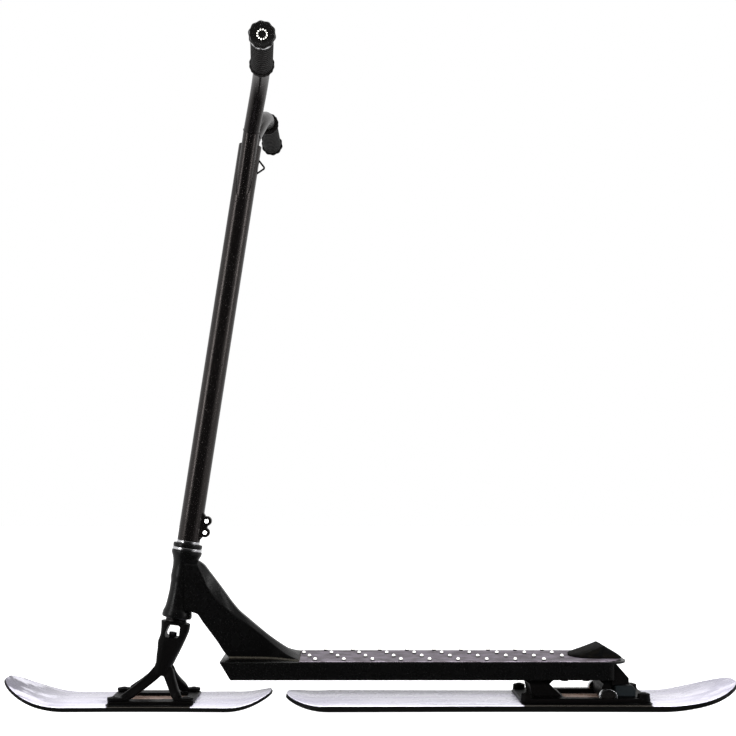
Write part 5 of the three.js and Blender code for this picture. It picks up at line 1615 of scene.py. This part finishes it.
def neck_lines(along):
    """At shares of the neck's length, its X, its half-width and the heights of ridge, shoulder and
    underside: each is an eased column of the table times the neck's own height or width."""
    ridge, shoulder, under, flare = eased(NECK_SHARES[:, 0], NECK_SHARES[:, 1:], along).T
    bottom = DECK_TOP + GAP
    height = NECK_TOP - bottom
    x = NECK_FRONT + along * (NECK_TAIL - NECK_FRONT)
    half = NECK_HALF + flare * (NECK_TAIL_HALF - NECK_HALF)
    return x, half, bottom + ridge * height, bottom + shoulder * height, bottom + under * height


def make_neck():
    """Upright slices: underside, shoulders and a narrow ridge, corners rounded, less the head tube."""
    x, half, ridge, shoulder, under = neck_lines(np.linspace(0, 1, NECK_STEPS))
    narrow = np.full_like(x, NECK_RIDGE)
    rings = np.stack([
        np.stack([x, side * width, level], -1)
        for side, width, level in (
            (-1, half, under), (-1, half, shoulder), (-1, narrow, ridge),
            (1, narrow, ridge), (1, half, shoulder), (1, half, under),
        )
    ], 1)
    outside = head_tube_outside(40) - (NECK_SINK, 0)
    below = [0, outside[0, 1] - NECK_ROOM_END]
    above = [0, outside[-1, 1] + NECK_ROOM_END]
    room = turned(np.concatenate([[below], outside, [above]]))
    form = carved(skin(rounded(rings, NECK_EDGE)), leaned(room))
    piece("neck_gusset", form, frame_paint("neck_black", NECK_DULL), "deck", ["neck"])


def make_neck_weld():
    """A bead along both sides of the neck's foot, closed across both ends."""
    x, half, _, _, _ = neck_lines(np.linspace(NECK_WELD_START, 1, 90))
    foot = np.full_like(x, DECK_TOP + NECK_WELD_HEIGHT)
    left = np.stack([x, -half, foot], -1)
    right = np.stack([x, half, foot], -1)[::-1]
    weld = bead(np.concatenate([left, right]), NECK_WELD_RADIUS, (0, 0, 1), loop=True)
    piece("neck_foot_weld", weld, WELD, "deck")


# Heel wedge: slices from side to side, highest over the ridge

# Of the half-width, of the height, then how far the front and the rear draw in
WEDGE_SHARES = np.array([
    [0.0, 1.0, 0.0, 0.0],
    [0.45, 1.0, 0.06, 0.02],
    [0.8, 0.98, 0.27, 0.05],
    [0.94, 0.72, 0.5, 0.1],
    [1.0, 0.34, 0.72, 0.2],
])
WEDGE_SLICES = 90
WEDGE_EDGE = 1.6


def make_wedge():
    """The table of shares is eased across the width; each slice is a low triangle with a lip in front."""
    across = np.sin(np.linspace(-math.pi / 2, math.pi / 2, WEDGE_SLICES))
    rise, front, rear = eased(WEDGE_SHARES[:, 0], WEDGE_SHARES[:, 1:], np.abs(across)).T
    y = across * WEDGE_HALF
    x0 = WEDGE_FRONT + front * (WEDGE_RIDGE - WEDGE_FRONT)
    x1 = WEDGE_REAR - rear * (WEDGE_REAR - WEDGE_RIDGE)
    lip = WEDGE_BOTTOM + WEDGE_LIP * np.minimum(1, rise * 2)
    floor = np.full_like(y, WEDGE_BOTTOM)
    top = WEDGE_BOTTOM + rise * WEDGE_HEIGHT
    rings = np.stack([
        np.stack([x, y, z], -1)
        for x, z in ((x0, floor), (x0, lip), (np.full_like(y, WEDGE_RIDGE), top),
                     (x1, floor + WEDGE_LIP / 2), (x1, floor))
    ], 1)
    form = skin(rounded(rings, WEDGE_EDGE))
    piece("heel_rubber_wedge", form, WEDGE, "deck", ["heel_wedge"])


# Rear bracket, pivot and damper

BRACKET_CELL = 0.8
TAIL_REACH = BRACKET_TAIL - PIVOT_X
# Seen from the side, X from the pivot and height: front end, front leg, window, rear leg and tail
BRACKET_SIDE = np.array([
    [-116.0, BRACKET_TOP], [-116.0, PLATE_BOTTOM + 2], [-106.0, PLATE_BOTTOM - 4],
    [-102.0, CAP_FOOT], [-61.0, CAP_FOOT],
    [-78.5, PLATE_BOTTOM - 5], [-73.3, PLATE_BOTTOM], [-9.5, PLATE_BOTTOM], [-3.5, PLATE_BOTTOM - 5],
    [-EYE_RADIUS, PLATE_BOTTOM - 10], [-EYE_RADIUS, PIVOT_Z], [EYE_RADIUS, PIVOT_Z],
    [EYE_RADIUS, TAIL_BLOCK_BOTTOM], [TAIL_REACH, TAIL_BLOCK_BOTTOM], [TAIL_REACH - GAP, BRACKET_TOP],
])
BLOCK_SHOULDER = 8.9
BLOCK_SLANT = 5.0
CAP_EDGE = 0.8
BUSH_CELL = 0.4
BUSH_GAP = 0.15
BUSH_INSET = 1.0
DAMPER_EDGE = 1.2
DAMPER_DRAW = 0.07


def make_bracket():
    """Plate, front leg, rear leg with its eye, and the slanted tail block, cast in one."""
    side = prism(BRACKET_SIDE + (PIVOT_X, 0), -BRACKET_HALF, BRACKET_HALF, "y")
    eye = prism(circle(PIVOT_X, PIVOT_Z, EYE_RADIUS), -BRACKET_HALF, BRACKET_HALF, "y")
    front = DECK_SIDE_END + GAP
    top = DECK_TOP - DECK_WALL - GAP
    block = prism([
        [front, TAIL_BLOCK_BOTTOM], [BRACKET_TAIL, TAIL_BLOCK_BOTTOM],
        [BRACKET_TAIL - GAP, TAIL_BLOCK_BOTTOM + BLOCK_SHOULDER], [front + BLOCK_SLANT, top], [front, top],
    ], -TAIL_BLOCK_HALF, TAIL_BLOCK_HALF, "y")
    form = cast([side, eye, block], BRACKET_CELL, 4)
    piece("rear_bracket_casting", form, CAST, "deck", ["rear_bracket"])


def make_pivot():
    """Half-round caps: a rounded section (u, v) carried round half a circle, as centre + (r + u) (cos t, 0,
    sin t) + (0, v, 0). The bushes fill them, and reach down to a round foot."""
    inner_face, outer_face = CAP_FACES
    middle = (CAP_OUTER + CAP_INNER) / 2
    thick = (CAP_OUTER - CAP_INNER) / 2
    wide = (outer_face - inner_face) / 2
    section = rectangle(-thick, thick, -wide, wide, CAP_EDGE, 4)
    angle = np.linspace(0, math.pi, 40)
    radial = np.stack([np.cos(angle), 0 * angle, np.sin(angle)], -1)
    center = np.array([PIVOT_X, (inner_face + outer_face) / 2, CAP_FOOT])
    rings = (
        center + (middle + section[None, :, :1]) * radial[:, None]
        + section[None, :, 1:] * np.array([0.0, 1.0, 0.0])
    )
    cap = skin(rings)
    bush_faces = (inner_face, outer_face - BUSH_INSET)
    dome = prism(arc(PIVOT_X, CAP_FOOT, CAP_INNER - BUSH_GAP, 0, math.pi, 32), *bush_faces, "y")
    foot = prism(circle(PIVOT_X, PIVOT_Z, BUSH_LOWER), *bush_faces, "y")
    bush = cast([dome, foot], BUSH_CELL, 4)
    for name, side in SIDES:
        for part, form, finish, slot, node in (
            ("pivot_half_cap", cap, ALLOY, "bright_steel", "pivot_cap"),
            ("pivot_rubber", bush, RUBBER, "grip_rubber", "pivot_bush"),
        ):
            piece(f"{part}_{name}", on_side(form, side), finish, "rear_ski", [f"{node}_{name}"])


def make_damper():
    """A block with one round shoulder; its outline shrinks by a share d |s|^12 towards both sides."""
    front, rear = DAMPER
    outline = np.concatenate([
        [[front, CAP_FOOT], [rear, CAP_FOOT]],
        arc(rear - DAMPER_ROUND, DAMPER_TOP - DAMPER_ROUND, DAMPER_ROUND, 0, math.pi / 2, 12),
        [[front, DAMPER_TOP]],
    ])
    outline = rounded(outline, DAMPER_EDGE, 3)
    middle = np.array([(front + rear) / 2, (CAP_FOOT + DAMPER_TOP) / 2])
    across = np.sin(np.linspace(-math.pi / 2, math.pi / 2, 40))
    shrink = 1 - DAMPER_DRAW * np.abs(across) ** 12
    flat = middle + (outline - middle) * shrink[:, None, None]
    y = np.broadcast_to((across * DAMPER_HALF)[:, None], flat.shape[:2])
    form = skin(np.stack([flat[..., 0], y, flat[..., 1]], -1))
    piece("rear_elastomer_damper", form, DAMPER_FINISH, "rear_ski", ["rear_damper"])


def make_object():
    """Every piece, from the ground up and from front to rear."""
    dress_frame()
    make_ski("front", FRONT_SKI, FRONT_BOSS_X, "steering", FRONT_TOP)
    make_ski("rear", REAR_SKI, REAR_BOSS_X, "rear_ski", REAR_TOP)
    make_frame("front", FRONT_FRAME, FRONT_WINDOW, FRONT_SKI, "steering")
    make_rear_frame()
    make_fork_crown()
    make_fork_legs()
    make_fork_nut()
    make_head_tube()
    make_rings()
    make_bar_tube()
    make_arms()
    make_loop()
    make_lugs()
    make_clamp_bolts()
    make_bar_ends()
    make_deck()
    make_sheet()
    make_studs()
    make_neck()
    make_neck_weld()
    make_wedge()
    make_bracket()
    make_pivot()
    make_damper()


# Camera: level, as the photograph's verticals stay upright, its frame shifted to the horizon

PHOTO_SIZE = 736
HORIZON_PIXEL = 476
AXIS_PIXEL = 345
CAMERA_DISTANCE = 1.95
CAMERA_X = -0.0358
CAMERA_HEIGHT = 0.319
FOCAL_PIXELS = 1393
SENSOR = 36.0


def make_camera():
    """The photograph's camera: the lens in millimetres is its focal length in pixels over the picture's
    size, times the sensor; the shifts put the horizon and the steering axis where the photograph has them."""
    data = bpy.data.cameras.new("photo_camera")
    data.sensor_width = SENSOR
    data.lens = FOCAL_PIXELS / PHOTO_SIZE * SENSOR
    data.shift_x = (PHOTO_SIZE / 2 - AXIS_PIXEL) / PHOTO_SIZE
    data.shift_y = (HORIZON_PIXEL - PHOTO_SIZE / 2) / PHOTO_SIZE
    camera = bpy.data.objects.new("photo_camera", data)
    camera.location = (CAMERA_X, -CAMERA_DISTANCE, CAMERA_HEIGHT)
    camera.rotation_euler = (math.pi / 2, 0, 0)
    bpy.context.scene.collection.objects.link(camera)
    bpy.context.scene.camera = camera


# Studio: white for the eye; for the surfaces, soft light from above, behind and both ends, and a low light
# in front that only diffuse surfaces see

# Parts of the sky's light: axis of the direction, where it starts and is full, and its strength at both
SKY_LIGHTS = (
    ("Z", 0.35, 0.8, 0.01, 0.3),
    ("Y", 0.35, 0.85, 0.0, 0.7),
    ("X", -0.6, -0.95, 0.0, 0.65),
    ("X", 0.6, 0.95, 0.0, 0.55),
)
# Low enough that it doesn't hide the skis' noses, which dip at the limits of the joints
FLOOR_Z = -0.045
FLOOR_REACH = 8.0
# The floor's own light: strength round the object, strength far out, and where it goes over
FLOOR_GLOW = (0.8, 1.0, 0.5, 2.0)
# Area lights: place, size, watts, target, and whether gloss mirrors them
LIGHTS = {
    "left_strip": ((-1.5, -0.9, 0.9), (0.25, 1.6), 7, (0.0, 0.0, 0.3), True),
    "right_strip": ((1.7, -0.5, 0.9), (0.2, 1.4), 5, (0.0, 0.0, 0.3), True),
    "front_fill": ((0.1, -1.9, 0.62), (2.2, 0.25), 112, (0.1, 0.0, 0.0), False),
}


def make_world():
    """The light's strength by direction: a broad top and back, two ends, and dark towards the viewer, who
    sees plain white."""
    world = bpy.data.worlds.new("studio")
    world.use_nodes = True
    tree = world.node_tree
    tree.nodes.clear()

    def node(kind, **settings):
        """A node of the world with the given settings."""
        made = tree.nodes.new(kind)
        for key, value in settings.items():
            setattr(made, key, value)
        return made

    def ranged(source, start, end, low, high):
        """Smoothly from one range to another, held at its ends."""
        made = node("ShaderNodeMapRange", interpolation_type="SMOOTHSTEP")
        tree.links.new(source, made.inputs["Value"])
        set_range(made, start, end, low, high)
        return made.outputs["Result"]

    def summed(first, second):
        """Two values added."""
        made = node("ShaderNodeMath", operation="ADD")
        tree.links.new(first, made.inputs[0])
        tree.links.new(second, made.inputs[1])
        return made.outputs[0]

    split = node("ShaderNodeSeparateXYZ")
    tree.links.new(node("ShaderNodeTexCoord").outputs["Generated"], split.inputs[0])
    top, behind, left, right = [ranged(split.outputs[axis], *span) for axis, *span in SKY_LIGHTS]
    light = summed(summed(top, behind), summed(left, right))
    shown = node("ShaderNodeMix", data_type="FLOAT")
    tree.links.new(node("ShaderNodeLightPath").outputs["Is Camera Ray"], shown.inputs[0])
    tree.links.new(light, shown.inputs[2])
    shown.inputs[3].default_value = 1.0
    background = node("ShaderNodeBackground")
    background.inputs["Color"].default_value = (1.0, 1.0, 1.0, 1.0)
    tree.links.new(shown.outputs[0], background.inputs["Strength"])
    tree.links.new(background.outputs[0], node("ShaderNodeOutputWorld").inputs["Surface"])
    bpy.context.scene.world = world


def make_light(name, place, size, watts, target, in_gloss):
    """A rectangular area light, aimed at its target."""
    data = bpy.data.lights.new(name, "AREA")
    data.shape = "RECTANGLE"
    data.size, data.size_y = size
    data.energy = watts
    light = bpy.data.objects.new(name, data)
    light.location = place
    aim = Vector(target) - Vector(place)
    light.rotation_euler = aim.to_track_quat("-Z", "Y").to_euler()
    light.visible_glossy = in_gloss
    bpy.context.scene.collection.objects.link(light)


def make_floor():
    """One large square in white that glows, a little more far out, and that gloss doesn't mirror."""
    mesh = bpy.data.meshes.new("floor")
    square = rectangle(-FLOOR_REACH, FLOOR_REACH, -FLOOR_REACH, FLOOR_REACH)
    points = np.column_stack([square, np.full(4, FLOOR_Z)])
    mesh.from_pydata(points.tolist(), [], [(0, 1, 2, 3)])
    finish = Finish("pale_floor", Specular_IOR_Level=0.0, Roughness=1.0, Emission_Color=(1.0, 1.0, 1.0, 1.0))
    finish.colors(finish.noise(3, 2), (250, 250, 250), (255, 255, 255))
    from_middle = finish.tree.nodes.new("ShaderNodeVectorMath")
    from_middle.operation = "LENGTH"
    finish.link(finish.place, from_middle.inputs[0])
    glow = finish.spread(from_middle.outputs["Value"], *FLOOR_GLOW)
    finish.link(glow, finish.shader.inputs["Emission Strength"])
    mesh.materials.append(finish.material)
    floor = bpy.data.objects.new("floor", mesh)
    floor.visible_glossy = False
    bpy.context.scene.collection.objects.link(floor)


def make_studio():
    """Camera, sky, two strips that gloss mirrors, the fill in front, and the floor."""
    make_camera()
    make_world()
    for name, settings in LIGHTS.items():
        make_light(name, *settings)
    make_floor()
    bpy.context.scene.view_settings.view_transform = "Standard"


make_object()
make_studio()
